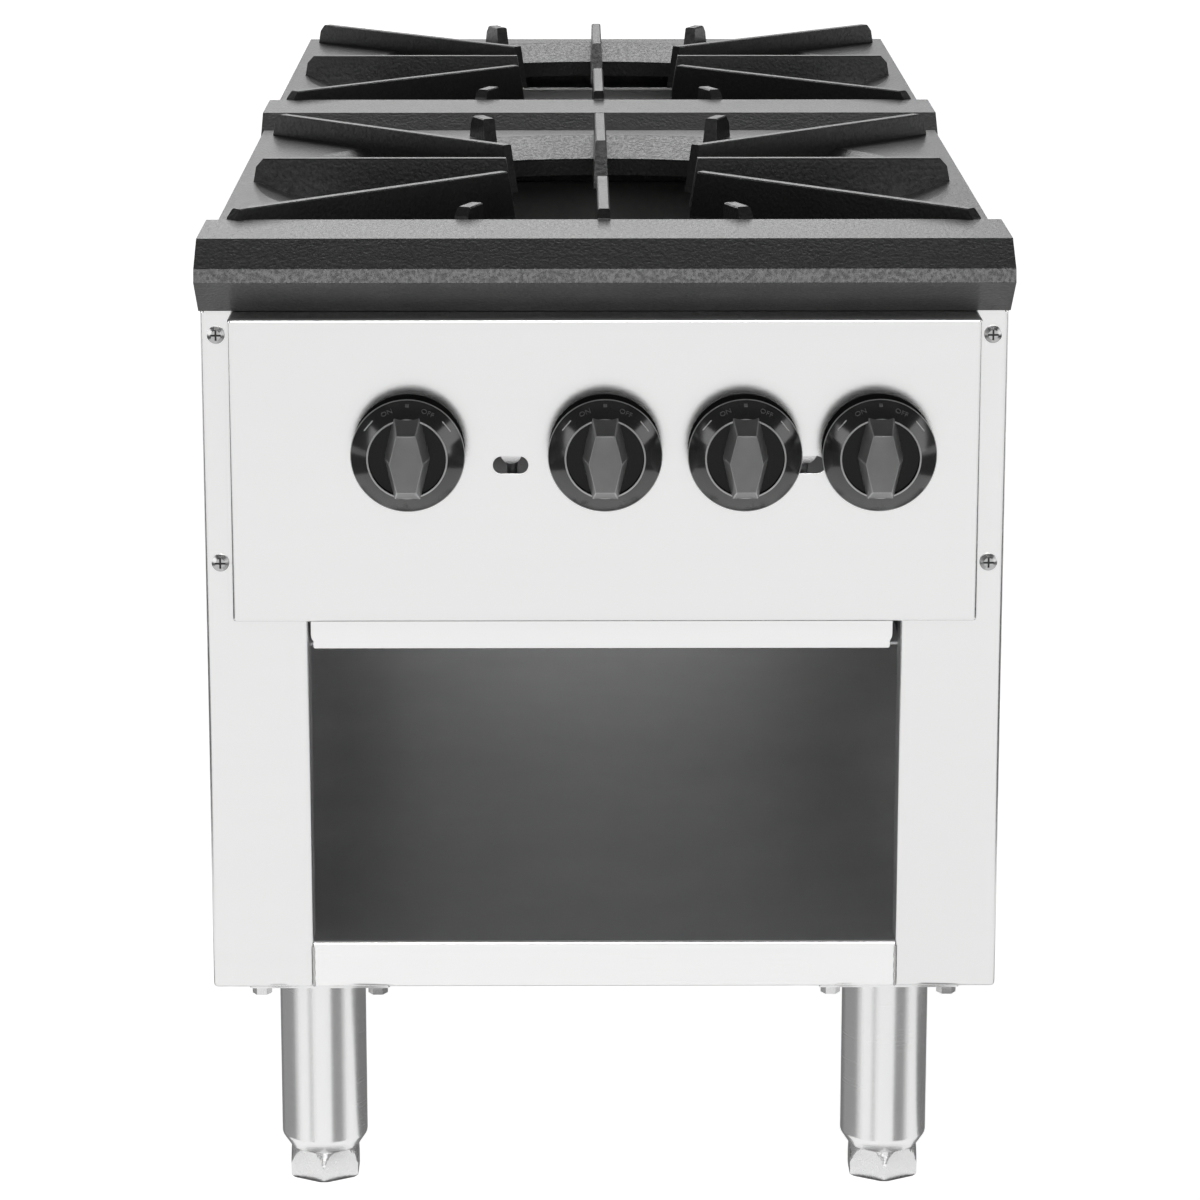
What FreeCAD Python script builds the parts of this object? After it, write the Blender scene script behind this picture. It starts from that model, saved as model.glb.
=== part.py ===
"""Two-burner gas stock-pot range, one STEP file per piece.

Millimetres. X runs to the right, Y from the front to the back, Z up from the floor.
While drawing, Y is measured from the front plane of the body; each piece is moved on
export so that the origin is the middle of the footprint, on the floor.
"""
import math
import os

import FreeCAD
import Part

V = FreeCAD.Vector
X_AXIS = V(1, 0, 0)
Y_AXIS = V(0, 1, 0)
Z_AXIS = V(0, 0, 1)

# Body
BODY_W = 457.0
BODY_D = 1055.0
BODY_BOTTOM = 128.7
BODY_TOP = 531.0
SHEET = 1.5
BEND = 2.5
POST_W = 58.8
POST_RETURN = 20.0
FLANGE = 20.0
BACK_FLANGE = 40.0
BACK_FLANGE_GAP = 0.5
SHELF_H = 28.3
CHANNEL_D = 90.0
CROSS_H = 26.5
CROSS_D = 40.0
MID_CROSS_BEFORE = 35.0
MID_CROSS_H = 40.5

# Control panel
PANEL_SHEET = 1.2
PANEL_INSET = 17.5
PANEL_REACH = 31.0
PANEL_DROP = 174.7
EAR_INSET = 2.5
EAR_DROP = 164.3
PANEL_EAR_R = 8.0
PANEL_GAP = 0.3
SHAFT_HOLE_R = 7.0
SLOT_W = 20.0
SLOT_H = 10.0
SLOT_DROP = 83.8
SLOT_SHIFT = (2.0, -1.5)
SCREW_INSET = 9.1
SCREW_DROP = (146.8, 14.8)
SCREW_HEAD_R = 5.0
SCREW_HEAD_H = 2.6
SCREW_R = 2.0
SCREW_PLAY = 0.1
SCREW_L = 10.0
SCREW_EDGE_H = 1.17
SCREW_TOP_R = 2.75
CROSS_ARM = 3.0
CROSS_SLIT = 0.55
CROSS_DEPTH = 1.3
BACK_SCREW_INSET = 10.0
BACK_SCREW_LOW = 40.0
BACK_SCREW_HIGH = 31.0
BACK_SCREW_ROWS = 4

# Knobs and valves
KNOB_NAMES = ("front_outer", "front_inner", "rear_outer", "rear_inner")
FIRST_KNOB_X = -110.0
SECOND_KNOB_X = 0.0
THIRD_KNOB_SHIFT = 1.5
LAST_KNOB_INSET = 58.0
KNOB_DROP = 74.3
KNOB_R = 32.0
KNOB_INNER_R = 22.35
KNOB_GAP = 2.0
KNOB_SKIRT = 18.0
KNOB_CONE = 10.0
KNOB_WALL = 3.0
KNOB_RECESS = 3.0
KNOB_LIP = 1.1
KNOB_GRIP = 18.0
GRIP_BASE = (12.7, 7.1, 18.8)
GRIP_FACE = (9.9, 6.2, 16.0)
HUB_R = 9.0
STEM_R = 4.0
STEM_FLAT = 2.8
STEM_GRIP = 16.0
STEM_PLAY = 0.05
STEM_BURIED = 4.0
BONNET_R = 9.0
BONNET_Y = -8.0
VALVE_Y = 6.0
VALVE_R = 11.5
VALVE_L = 20.0
INLET_R = 8.0
OUTLET_R = 7.0
OUTLET_RISE = 22.3
OUTLET_END_Y = 40.0
SPUD_L = 22.0
SPUD_BORE_R = 2.0

# Gas pipes
PIPE_R = 13.35
PIPE_BORE_R = 10.4
MANIFOLD_Y = 52.0
MANIFOLD_INSET = 38.5
MANIFOLD_CAP = 6.0
SUPPLY_INSET = 43.5
SUPPLY_END = 30.0
THREAD_R = 13.1
THREAD_L = 24.0
ELBOW_R = 17.0
ELBOW_L = 16.0
PIPE_SEAT = 14.0
PIPE_HOLE_PLAY = 1.0
LOCKNUT_AF = 38.0
LOCKNUT_L = 6.0
LEFT_BRACKET_SHIFT = 7.5
RIGHT_BRACKET_INSET = 60.0
BRACKET_T = 3.0
BRACKET_RIM = 8.0
BRACKET_OVERLAP = 18.0
TUBE_R = 5.0
TUBE_BEND = 18.0
TUBE_CROSS = (-18.0, 12.0)
PILOT_DROP = 81.0
PILOT_R = 6.0
PILOT_SLIT = 1.5
PILOT_FRONT_Y = -12.0
PILOT_DROP_Y = 22.0
PILOT_LINE_R = 3.0
PILOT_LINE_DROP = 101.0
PILOT_BEND = 12.0
PILOT_TIP_R = 5.0
PILOT_TIP_L = 14.0
PILOT_SPOT = (53.0, -28.0)

# Burners
BURNER_DROP = 17.0
BURNER_H = 22.0
BURNER_WALL = 3.0
OUTER_RING = (118.0, 140.0)
MIDDLE_RING = (72.0, 92.0)
INNER_RING = (26.0, 50.0)
ARM_W = 20.0
ARM_LAP = 1.0
VENTURI_R = 17.0
VENTURI_THROAT_R = 12.0
VENTURI_WALL = 2.5
VENTURI_FACE = 2.0
VENTURI_START = 68.1
VENTURI_BELL = 17.0
VENTURI_TAPER = 30.0
RISER_R = 12.0
OUTER_FEED_Y = -67.0
INNER_FEED_Y = -38.0
SHUTTER_T = 2.0
SHUTTER_RIM = 10.0
SHUTTER_WALL = 2.0
SHUTTER_PLAY = 0.05
SHUTTER_HOLE_R = 6.0
WINDOW_R = 3.6
WINDOW_AT = 11.5
FRAME_BAR_W = 16.0
FRAME_BAR_T = 6.0
FRAME_Y = (-6.0, 95.0)
FRAME_SIDE_W = 20.0

# Grates
GRATE_OVER = 2.0
GRATE_GAP = 2.0
GRATE_FORWARD = 3.0
GRATE_INSET = 2.5
GRATE_RISE = 33.2
GRATE_T = 11.0
SKIRT_T = 8.0
DISH_SIDE = 12.0
DISH_FRONT = 0.5
DISH_LEDGE = 32.0
DISH_DROP = 11.5
RAIL_RISE = 41.7
RAIL_BACK_Y = 58.0
RAIL_FRONT_Y = -12.0
NOSE_Y = (-35.0, -37.0)
NOSE_RISE = (28.2, 20.7)
RAIL_FOOT_Y = -8.0
RAIL_WALL = 8.7
RAIL_LOW_WALLS = (1.5, 0.2)
RAIL_HIGH_WALLS = (1.3, 0.3)
RAIL_TOP_WALLS = 0.3
RAIL_CAP = 10.0
FIN_RISE = 47.5
FIN_TOP_W = 7.0
FIN_BASE_W = 10.0
FIN_EDGE = 0.8
FIN_BASE_RISE = 17.2
FIN_LEAN = 5.0
FIN_CHAMFER = (6.5, 5.0)
FIN_FOOT = 2.0
MIDDLE_FIN_IN = 54.5
MIDDLE_FIN_LAP = 2.5
DIAGONAL_FIN_IN = 79.5
DIAGONAL_FIN_LAP = 91.0
CENTRE_FIN_IN = 75.0
CENTRE_FIN_REAR_LAP = 9.0
CENTRE_FIN_FRONT_LAP = 4.0
STUB_LAP = (-18.0, 12.0)
STUB_W = (8.0, 11.0)
STUB_ANGLE = 21.5

# Drip tray and runners
TRAY_SHEET = 1.2
TRAY_ROOM = 4.0
TRAY_FACE_LAP = 1.3
TRAY_SIDE = -1.6
TRAY_DROP = 24.4
TRAY_FACE_LIFT = 3.5
TRAY_FACE_H = 14.0
TRAY_H = 15.4
TRAY_FACE_R = 6.0
TRAY_BACK_ROOM = 23.0
TRAY_PLAY = 0.2
RUNNER_T = 1.5
RUNNER_W = 15.0
RUNNER_H = 12.0

# Legs and feet
LEG_SIDE = 61.5
LEG_INSET = 40.0
REAR_LEG_INSET = 46.0
LEG_R = 25.4
LEG_WALL = 2.0
LEG_SHOULDER_Z = 26.0
LEG_END_Z = 18.5
LEG_END_R = 20.5
LEG_INSERT_H = 26.0
PLATE_W = 82.0
PLATE_D = 68.0
PLATE_T = 2.5
BOLT_ACROSS = 34.0
BOLT_ALONG = 28.0
BOLT_R = 3.0
BOLT_PLAY = 0.4
BOLT_AF = 10.0
BOLT_HEAD_H = 4.5
NUT_H = 5.0
BOLT_PROUD = 2.0
FOOT_AF = 39.8
FOOT_TURN = 30.0
FOOT_CROWN_Z = 9.0
FOOT_PLAY = 0.2
FOOT_STUD_R = 8.0
FOOT_STUD_PLAY = 0.05
FOOT_STUD_TOP = 78.0
FOOT_CHAMFER = 1.6

# Sizes that follow from the ones above
HALF_W = BODY_W / 2
WALL_IN = HALF_W - SHEET
POST_IN = HALF_W - POST_W
INNER_TOP = BODY_TOP - BEND
PANEL_W = BODY_W - 2 * PANEL_INSET
LAST_KNOB_X = PANEL_W / 2 - LAST_KNOB_INSET
THIRD_KNOB_X = (SECOND_KNOB_X + LAST_KNOB_X) / 2 + THIRD_KNOB_SHIFT
KNOB_X = (FIRST_KNOB_X, SECOND_KNOB_X, THIRD_KNOB_X, LAST_KNOB_X)
LEFT_SLOT_X = (FIRST_KNOB_X + SECOND_KNOB_X) / 2 + SLOT_SHIFT[0]
RIGHT_SLOT_X = (THIRD_KNOB_X + LAST_KNOB_X) / 2 + SLOT_SHIFT[1]
SLOT_X = (LEFT_SLOT_X, RIGHT_SLOT_X)
PANEL_BOTTOM = BODY_TOP - PANEL_DROP
PANEL_EAR_W = BODY_W - 2 * EAR_INSET
PANEL_EAR_BOTTOM = BODY_TOP - EAR_DROP
SLOT_Z = BODY_TOP - SLOT_DROP
SCREW_X = HALF_W - SCREW_INSET
SCREW_Z = tuple(BODY_TOP - drop for drop in SCREW_DROP)
KNOB_Z = BODY_TOP - KNOB_DROP
PILOT_Z = BODY_TOP - PILOT_DROP
PILOT_LINE_Z = BODY_TOP - PILOT_LINE_DROP
BURNER_TOP = BODY_TOP - BURNER_DROP
MANIFOLD_END_X = HALF_W - MANIFOLD_INSET
SUPPLY_X = SUPPLY_INSET - HALF_W
BRACKET_X = ((SUPPLY_X + FIRST_KNOB_X) / 2 + LEFT_BRACKET_SHIFT, MANIFOLD_END_X - RIGHT_BRACKET_INSET)
GRATE_W = BODY_W - 2 * GRATE_INSET
GRATE_TOP = BODY_TOP + GRATE_RISE
RAIL_TOP = BODY_TOP + RAIL_RISE
RAIL_NOSE = tuple((y, BODY_TOP + rise) for y, rise in zip(NOSE_Y, NOSE_RISE))
FIN_TOP = BODY_TOP + FIN_RISE
FIN_BASE = BODY_TOP + FIN_BASE_RISE
GRATE_PITCH = (BODY_D - NOSE_Y[1] + GRATE_GAP + GRATE_OVER) / 2
GRATE_CENTRE_Y = (GRATE_PITCH - GRATE_FORWARD) / 2
DISH_R = min(GRATE_W / 2 - DISH_SIDE, GRATE_CENTRE_Y - RAIL_BACK_Y - DISH_FRONT)
HOLE_R = DISH_R - DISH_LEDGE
MIDDLE_FIN = (MIDDLE_FIN_IN, DISH_R + MIDDLE_FIN_LAP)
DIAGONAL_FIN = (DIAGONAL_FIN_IN, DISH_R + DIAGONAL_FIN_LAP)
CENTRE_FIN_REAR = (CENTRE_FIN_IN, DISH_R + CENTRE_FIN_REAR_LAP)
CENTRE_FIN_FRONT = (CENTRE_FIN_IN, DISH_R + CENTRE_FIN_FRONT_LAP)
STUB_R = tuple(DISH_R + lap for lap in STUB_LAP)
MID_CROSS_Y = GRATE_PITCH - MID_CROSS_BEFORE
TUBE_CROSS_Y = tuple(GRATE_PITCH + y for y in TUBE_CROSS)
TRAY_W = 2 * (POST_IN - TRAY_ROOM)
TRAY_FACE_W = TRAY_W + 2 * TRAY_FACE_LAP
TRAY_BOTTOM = PANEL_BOTTOM - TRAY_DROP
TRAY_FACE_BOTTOM = TRAY_BOTTOM + TRAY_FACE_LIFT
TRAY_FACE_TOP = TRAY_FACE_BOTTOM + TRAY_FACE_H
TRAY_RIM = TRAY_BOTTOM + TRAY_H
TRAY_L = BODY_D - TRAY_BACK_ROOM
LEG_X = HALF_W - LEG_SIDE
BACK_Y = BODY_D - 2 * SHEET
SHELF_TOP = BODY_BOTTOM + SHELF_H
KNOB_BACK_Y = -PANEL_REACH - KNOB_GAP
KNOB_EDGE_Y = KNOB_BACK_Y - KNOB_SKIRT
KNOB_RIM_Y = KNOB_EDGE_Y - KNOB_CONE
KNOB_FLOOR_Y = KNOB_RIM_Y + KNOB_RECESS
KNOB_FACE_Y = KNOB_FLOOR_Y - KNOB_GRIP
STEM_FRONT_Y = KNOB_FLOOR_Y + KNOB_WALL
OUTLET_Z = KNOB_Z + OUTLET_RISE
BURNER_BOTTOM = BURNER_TOP - BURNER_H
FIRST_CENTRE = GRATE_CENTRE_Y
SECOND_CENTRE = GRATE_CENTRE_Y + GRATE_PITCH
GRATE_BACK_Y = RAIL_NOSE[1][0] + GRATE_PITCH - GRATE_GAP
SUPPLY_END_Y = BODY_D + SUPPLY_END
ORIGIN_Y = (KNOB_FACE_Y + SUPPLY_END_Y) / 2


def block(x0, x1, y0, y1, z0, z1):
    """Box between two corners."""
    return Part.makeBox(x1 - x0, y1 - y0, z1 - z0, V(x0, y0, z0))


def rod(start, radius, length, axis):
    """Cylinder from a start point along an axis."""
    return Part.makeCylinder(radius, length, V(*start), axis)


def prism(points, along):
    """Solid swept from a closed polygon along a vector."""
    corners = [V(*p) for p in points]
    face = Part.Face(Part.makePolygon(corners + corners[:1]))
    return face.extrude(along)


def spun(points, centre, axis):
    """Solid turned from a closed polygon about an axis through a point."""
    corners = [V(*p) for p in points]
    face = Part.Face(Part.makePolygon(corners + corners[:1]))
    return face.revolve(V(*centre), axis, 360)


def joined(shapes):
    """One solid from shapes that meet or overlap."""
    first, *rest = shapes
    return first.fuse(rest).removeSplitter()


def mirrored(shape):
    """Copy reflected left to right."""
    return shape.mirror(V(0, 0, 0), X_AXIS)


def hexagon(across, z0, z1, centre, turn):
    """Upright hexagonal bar; turn is the angle of its first corner in degrees."""
    radius = across / math.sqrt(3)
    corners = []
    for k in range(6):
        angle = math.radians(turn + 60 * k)
        corners.append((centre[0] + radius * math.cos(angle), centre[1] + radius * math.sin(angle), z0))
    return prism(corners, V(0, 0, z1 - z0))


def bent_tube(points, radius, bend):
    """Round bar along a path of straight runs joined by arcs."""
    corners = [V(*p) for p in points]
    edges = []
    start = corners[0]
    for before, at, after in zip(corners, corners[1:], corners[2:]):
        back = (before - at).normalize()
        ahead = (after - at).normalize()
        enter = at + back * bend
        leave = at + ahead * bend
        middle = at + (back + ahead) * bend * (1 - math.sqrt(0.5))
        edges.append(Part.makeLine(start, enter))
        edges.append(Part.Arc(enter, middle, leave).toShape())
        start = leave
    edges.append(Part.makeLine(start, corners[-1]))
    path = Part.Wire(edges)
    section = Part.Wire(Part.makeCircle(radius, corners[0], corners[1] - corners[0]))
    return path.makePipeShell([section], True, False)


def save(name, shape):
    """Write one piece, moved so that the origin is the middle of the footprint."""
    placed = shape.copy()
    placed.translate(V(0, -ORIGIN_Y, 0))
    placed.exportStep(f"parts/{name}.step")


# Sheet-metal body

def panel_screw_points():
    """Places of the control panel screws, on the outside of its ears."""
    return [(side * SCREW_X, z) for side in (-1, 1) for z in SCREW_Z]


def back_screw_points():
    """Places of the back panel screws."""
    across = HALF_W - BACK_SCREW_INSET
    low = BODY_BOTTOM + BACK_SCREW_LOW
    step = (BODY_TOP - BACK_SCREW_HIGH - low) / (BACK_SCREW_ROWS - 1)
    heights = [low + row * step for row in range(BACK_SCREW_ROWS)]
    return [(side * across, z) for side in (-1, 1) for z in heights]


def side_panel():
    """Left side: outer wall, front post with return, inward flanges."""
    outer = block(-HALF_W, -POST_IN, 0, BODY_D, BODY_BOTTOM, BODY_TOP)
    outer = outer.makeFillet(BEND, outer.Edges)
    low = BODY_BOTTOM + SHEET
    inner = block(-WALL_IN, -POST_IN - SHEET, SHEET, BODY_D - SHEET, low, BODY_TOP - SHEET)
    inner = inner.makeFillet(BEND - SHEET, inner.Edges)
    open_side = block(-HALF_W + FLANGE, 0, POST_RETURN, BODY_D + SHEET, 0, BODY_TOP + SHEET)
    radius = SCREW_R + SCREW_PLAY
    fronts = [(x, z) for x, z in panel_screw_points() if x < 0]
    backs = [(x, z) for x, z in back_screw_points() if x < 0]
    holes = [rod((x, -SHEET, z), radius, 3 * SHEET, Y_AXIS) for x, z in fronts]
    holes += [rod((x, BACK_Y, z), radius, 3 * SHEET, Y_AXIS) for x, z in backs]
    corner_bolt = (-LEG_X - BOLT_ACROSS, LEG_INSET - BOLT_ALONG, 0)
    holes.append(rod(corner_bolt, BOLT_R + BOLT_PLAY, BODY_BOTTOM + BEND, Z_AXIS))
    return outer.cut([inner, open_side] + holes)


def back_panel():
    """Rear sheet inside the rear flanges, with a top flange between the side flanges and the pipe hole."""
    half = HALF_W - BEND
    sheet = block(-half, half, BACK_Y, BACK_Y + SHEET, BODY_BOTTOM + BEND, INNER_TOP)
    between = HALF_W - FLANGE - BACK_FLANGE_GAP
    tongue = block(-between, between, BACK_Y, BACK_Y + SHEET, INNER_TOP, BODY_TOP)
    flange = block(-between, between, BACK_Y - BACK_FLANGE, BACK_Y, BODY_TOP - SHEET, BODY_TOP)
    holes = [rod((SUPPLY_X, BACK_Y - SHEET, KNOB_Z), PIPE_R + PIPE_HOLE_PLAY, 3 * SHEET, Y_AXIS)]
    radius = SCREW_R + SCREW_PLAY
    holes += [rod((x, BACK_Y - SHEET, z), radius, 3 * SHEET, Y_AXIS) for x, z in back_screw_points()]
    return joined([sheet, tongue, flange]).cut(holes)


def bottom_shelf():
    """Floor of the storage base with front flange, bottom return and side flanges."""
    nose = block(-POST_IN, POST_IN, 0, POST_RETURN + BEND, BODY_BOTTOM, SHELF_TOP)
    front_edges = [e for e in nose.Edges if abs(e.CenterOfMass.x) < 1 and e.CenterOfMass.y < 1]
    nose = nose.makeFillet(BEND, front_edges)
    hollow = block(-POST_IN, POST_IN, SHEET, BODY_D, BODY_BOTTOM + SHEET, SHELF_TOP - SHEET)
    nose = nose.cut([hollow, block(-POST_IN, POST_IN, POST_RETURN, BODY_D, 0, BODY_BOTTOM + SHEET)])
    floor = block(-WALL_IN, WALL_IN, POST_RETURN, BACK_Y, SHELF_TOP - SHEET, SHELF_TOP)
    sides = [
        block(s * WALL_IN - SHEET * (s > 0), s * WALL_IN + SHEET * (s < 0), POST_RETURN, BACK_Y,
              BODY_BOTTOM + BEND, SHELF_TOP)
        for s in (-1, 1)
    ]
    across = LEG_X - BOLT_ACROSS
    along = LEG_INSET - BOLT_ALONG
    radius = BOLT_R + BOLT_PLAY
    holes = [rod((s * across, along, 0), radius, BODY_BOTTOM + BEND, Z_AXIS) for s in (-1, 1)]
    return joined([nose, floor] + sides).cut(holes)


def leg_spots():
    """Name and plan position of each leg."""
    rear_y = BODY_D - REAR_LEG_INSET
    return {
        "front_left": (-LEG_X, LEG_INSET),
        "front_right": (LEG_X, LEG_INSET),
        "rear_left": (-LEG_X, rear_y),
        "rear_right": (LEG_X, rear_y),
    }


def bolt_steps():
    """Plan position of each bolt from the axis of its leg."""
    return [(dx, dy) for dx in (-BOLT_ACROSS, BOLT_ACROSS) for dy in (-BOLT_ALONG, BOLT_ALONG)]


def bolt_spots():
    """Plan position of every leg bolt."""
    return [(x + dx, y + dy) for x, y in leg_spots().values() for dx, dy in bolt_steps()]


def base_channel(y0, y1):
    """Channel open to the top that stands under the shelf and takes the leg bolts."""
    half = HALF_W - FLANGE
    top = SHELF_TOP - SHEET
    bar = block(-half, half, y0, y1, BODY_BOTTOM, top)
    hollow = block(-half, half, y0 + SHEET, y1 - SHEET, BODY_BOTTOM + SHEET, top)
    holes = [
        rod((x, y, 0), BOLT_R + BOLT_PLAY, BODY_BOTTOM + BEND, Z_AXIS) for x, y in bolt_spots() if y0 < y < y1
    ]
    return bar.cut([hollow] + holes)


def crossmember(y, height):
    """Channel from side to side with a top flange towards the back."""
    web = block(-WALL_IN, WALL_IN, y, y + SHEET, INNER_TOP - height, INNER_TOP)
    flange = block(-WALL_IN, WALL_IN, y, y + CROSS_D, INNER_TOP - SHEET, INNER_TOP)
    return joined([web, flange])


def control_panel():
    """Hat-section panel: face, side walls, returns, ears with rounded lower corners."""
    half = PANEL_W / 2
    top = BODY_TOP - PANEL_GAP
    outer = block(-half, half, -PANEL_REACH, PANEL_REACH, PANEL_BOTTOM, top)
    edges = [e for e in outer.Edges if e.CenterOfMass.y < 1 - PANEL_REACH or abs(e.CenterOfMass.y) < 1]
    outer = outer.makeFillet(BEND, edges)
    inner = block(-half + PANEL_SHEET, half - PANEL_SHEET, PANEL_SHEET - PANEL_REACH, 2 * PANEL_REACH,
                  PANEL_BOTTOM + PANEL_SHEET, top - PANEL_SHEET)
    edges = [e for e in inner.Edges if e.CenterOfMass.y < 3 - PANEL_REACH]
    inner = inner.makeFillet(BEND - PANEL_SHEET, edges)
    behind = block(-BODY_W, BODY_W, 0, 3 * PANEL_REACH, 0, BODY_TOP)
    shell = outer.cut([inner, behind])
    ears = []
    for side in (-1, 1):
        reach = sorted((side * half - side * PANEL_SHEET, side * PANEL_EAR_W / 2))
        ear = block(reach[0], reach[1], -PANEL_SHEET, 0, PANEL_EAR_BOTTOM, top)
        corner = [
            e for e in ear.Edges
            if abs(abs(e.CenterOfMass.x) - PANEL_EAR_W / 2) < 0.1
            and abs(e.CenterOfMass.z - PANEL_EAR_BOTTOM) < 0.1
        ]
        ears.append(ear.makeFillet(PANEL_EAR_R, corner))
    panel = joined([shell] + ears)
    through = 3 * PANEL_SHEET
    cuts = [rod((x, -PANEL_REACH - PANEL_SHEET, KNOB_Z), SHAFT_HOLE_R, through, Y_AXIS) for x in KNOB_X]
    cuts += [slot(x, through) for x in SLOT_X]
    radius = SCREW_R + SCREW_PLAY
    cuts += [rod((x, -2 * PANEL_SHEET, z), radius, through, Y_AXIS) for x, z in panel_screw_points()]
    return panel.cut(cuts)


def slot(x, through):
    """Cutter for one round-ended pilot slot."""
    radius = SLOT_H / 2
    half = SLOT_W / 2 - radius
    y = -PANEL_REACH - PANEL_SHEET
    bar = block(x - half, x + half, y, y + through, SLOT_Z - radius, SLOT_Z + radius)
    ends = [rod((x + s * half, y, SLOT_Z), radius, through, Y_AXIS) for s in (-1, 1)]
    return joined([bar] + ends)


def screw(x, y, z, inward):
    """Pan-head screw; inward is +1 when its shank points to the back."""
    profile = [
        (x, y, z),
        (x, y - inward * SCREW_HEAD_H, z),
        (x + SCREW_TOP_R, y - inward * SCREW_HEAD_H, z),
        (x + SCREW_HEAD_R, y - inward * SCREW_EDGE_H, z),
        (x + SCREW_HEAD_R, y, z),
    ]
    head = spun(profile, (x, y, z), Y_AXIS)
    shank = rod((x, y, z), SCREW_R, SCREW_L, Y_AXIS * inward)
    front = y - inward * SCREW_HEAD_H
    y0, y1 = sorted((front, front + inward * CROSS_DEPTH))
    across = block(x - CROSS_ARM, x + CROSS_ARM, y0, y1, z - CROSS_SLIT, z + CROSS_SLIT)
    upright = block(x - CROSS_SLIT, x + CROSS_SLIT, y0, y1, z - CROSS_ARM, z + CROSS_ARM)
    return joined([head, shank]).cut([across, upright])


def sheet_screws():
    """All pan-head screws of the body."""
    screws = [screw(x, -PANEL_SHEET, z, 1) for x, z in panel_screw_points()]
    screws += [screw(x, BODY_D, z, -1) for x, z in back_screw_points()]
    return Part.makeCompound(screws)


# Drip tray and runners

def drip_tray():
    """Pan with a front face plate whose lower corners are rounded."""
    half = TRAY_W / 2
    pan = block(TRAY_SIDE - half, TRAY_SIDE + half, TRAY_SHEET, TRAY_L, TRAY_BOTTOM, TRAY_RIM)
    long_edges = [e for e in pan.Edges if abs(e.CenterOfMass.z - TRAY_BOTTOM) < 0.1]
    pan = pan.makeFillet(BEND, long_edges)
    inside = half - TRAY_SHEET
    hollow = block(TRAY_SIDE - inside, TRAY_SIDE + inside, 2 * TRAY_SHEET, TRAY_L - TRAY_SHEET,
                   TRAY_BOTTOM + TRAY_SHEET, TRAY_RIM + TRAY_SHEET)
    floor_edges = [e for e in hollow.Edges if abs(e.CenterOfMass.z - TRAY_BOTTOM - TRAY_SHEET) < 0.1]
    hollow = hollow.makeFillet(BEND - TRAY_SHEET, floor_edges)
    face_half = TRAY_FACE_W / 2
    face = block(TRAY_SIDE - face_half, TRAY_SIDE + face_half, 0, TRAY_SHEET, TRAY_FACE_BOTTOM, TRAY_FACE_TOP)
    corners = [
        e for e in face.Edges
        if abs(e.CenterOfMass.z - TRAY_FACE_BOTTOM) < 0.1 and abs(e.CenterOfMass.x - TRAY_SIDE) > 1
    ]
    face = face.makeFillet(TRAY_FACE_R, corners)
    return joined([pan.cut(hollow), face])


def tray_runner():
    """Left angle under the tray, fixed to the post return and the back panel."""
    wall = block(-POST_IN - SHEET - RUNNER_T, -POST_IN - SHEET, BEND, BACK_Y,
                 TRAY_BOTTOM - TRAY_PLAY - RUNNER_T, TRAY_BOTTOM - TRAY_PLAY + RUNNER_H)
    ledge = block(-POST_IN - SHEET - RUNNER_T, -POST_IN - SHEET - RUNNER_T + RUNNER_W, POST_RETURN, BACK_Y,
                  TRAY_BOTTOM - TRAY_PLAY - RUNNER_T, TRAY_BOTTOM - TRAY_PLAY)
    return joined([wall, ledge])


# Legs and feet

def leg(x, y):
    """Tube with rolled lower shoulder, bolting plate and threaded insert."""
    top = BODY_BOTTOM - PLATE_T
    inside = LEG_R - LEG_WALL
    thread = FOOT_STUD_R + FOOT_STUD_PLAY
    insert_top = LEG_END_Z + LEG_INSERT_H
    tube = spun(
        [
            (x + thread, y, LEG_END_Z),
            (x + LEG_END_R, y, LEG_END_Z),
            (x + LEG_R, y, LEG_SHOULDER_Z),
            (x + LEG_R, y, top),
            (x + inside, y, top),
            (x + inside, y, insert_top),
            (x + thread, y, insert_top),
        ],
        (x, y, 0),
        Z_AXIS,
    )
    level = [e for e in tube.Edges if e.BoundBox.ZLength < 0.01]
    shoulder = [e for e in level if abs(e.BoundBox.ZMin - LEG_SHOULDER_Z) < 0.01]
    tube = tube.makeFillet(LEG_R - LEG_END_R, shoulder)
    across = PLATE_W / 2
    along = PLATE_D / 2
    plate = block(x - across, x + across, y - along, y + along, top, BODY_BOTTOM)
    upright = [e for e in plate.Edges if e.BoundBox.ZLength > 0.9 * PLATE_T]
    plate = plate.makeFillet(PLATE_T, upright)
    holes = [
        rod((x + dx, y + dy, 0), BOLT_R + BOLT_PLAY, BODY_BOTTOM + PLATE_T, Z_AXIS)
        for dx, dy in bolt_steps()
    ]
    return joined([tube, plate]).cut(holes)


def foot(x, y):
    """Hexagonal foot whose flats run up into arches, with its stud."""
    top = LEG_END_Z - FOOT_PLAY
    corner = FOOT_AF / math.sqrt(3)
    bar = hexagon(FOOT_AF, 0, top, (x, y), FOOT_TURN)
    crown = spun(
        [
            (x, y, 0),
            (x + corner - FOOT_CHAMFER, y, 0),
            (x + corner, y, FOOT_CHAMFER),
            (x + corner, y, FOOT_CROWN_Z),
            (x + LEG_END_R - FOOT_PLAY, y, top),
            (x, y, top),
        ],
        (x, y, 0),
        Z_AXIS,
    )
    stud = rod((x, y, top), FOOT_STUD_R, FOOT_STUD_TOP - top, Z_AXIS)
    return joined([bar.common(crown), stud])


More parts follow.
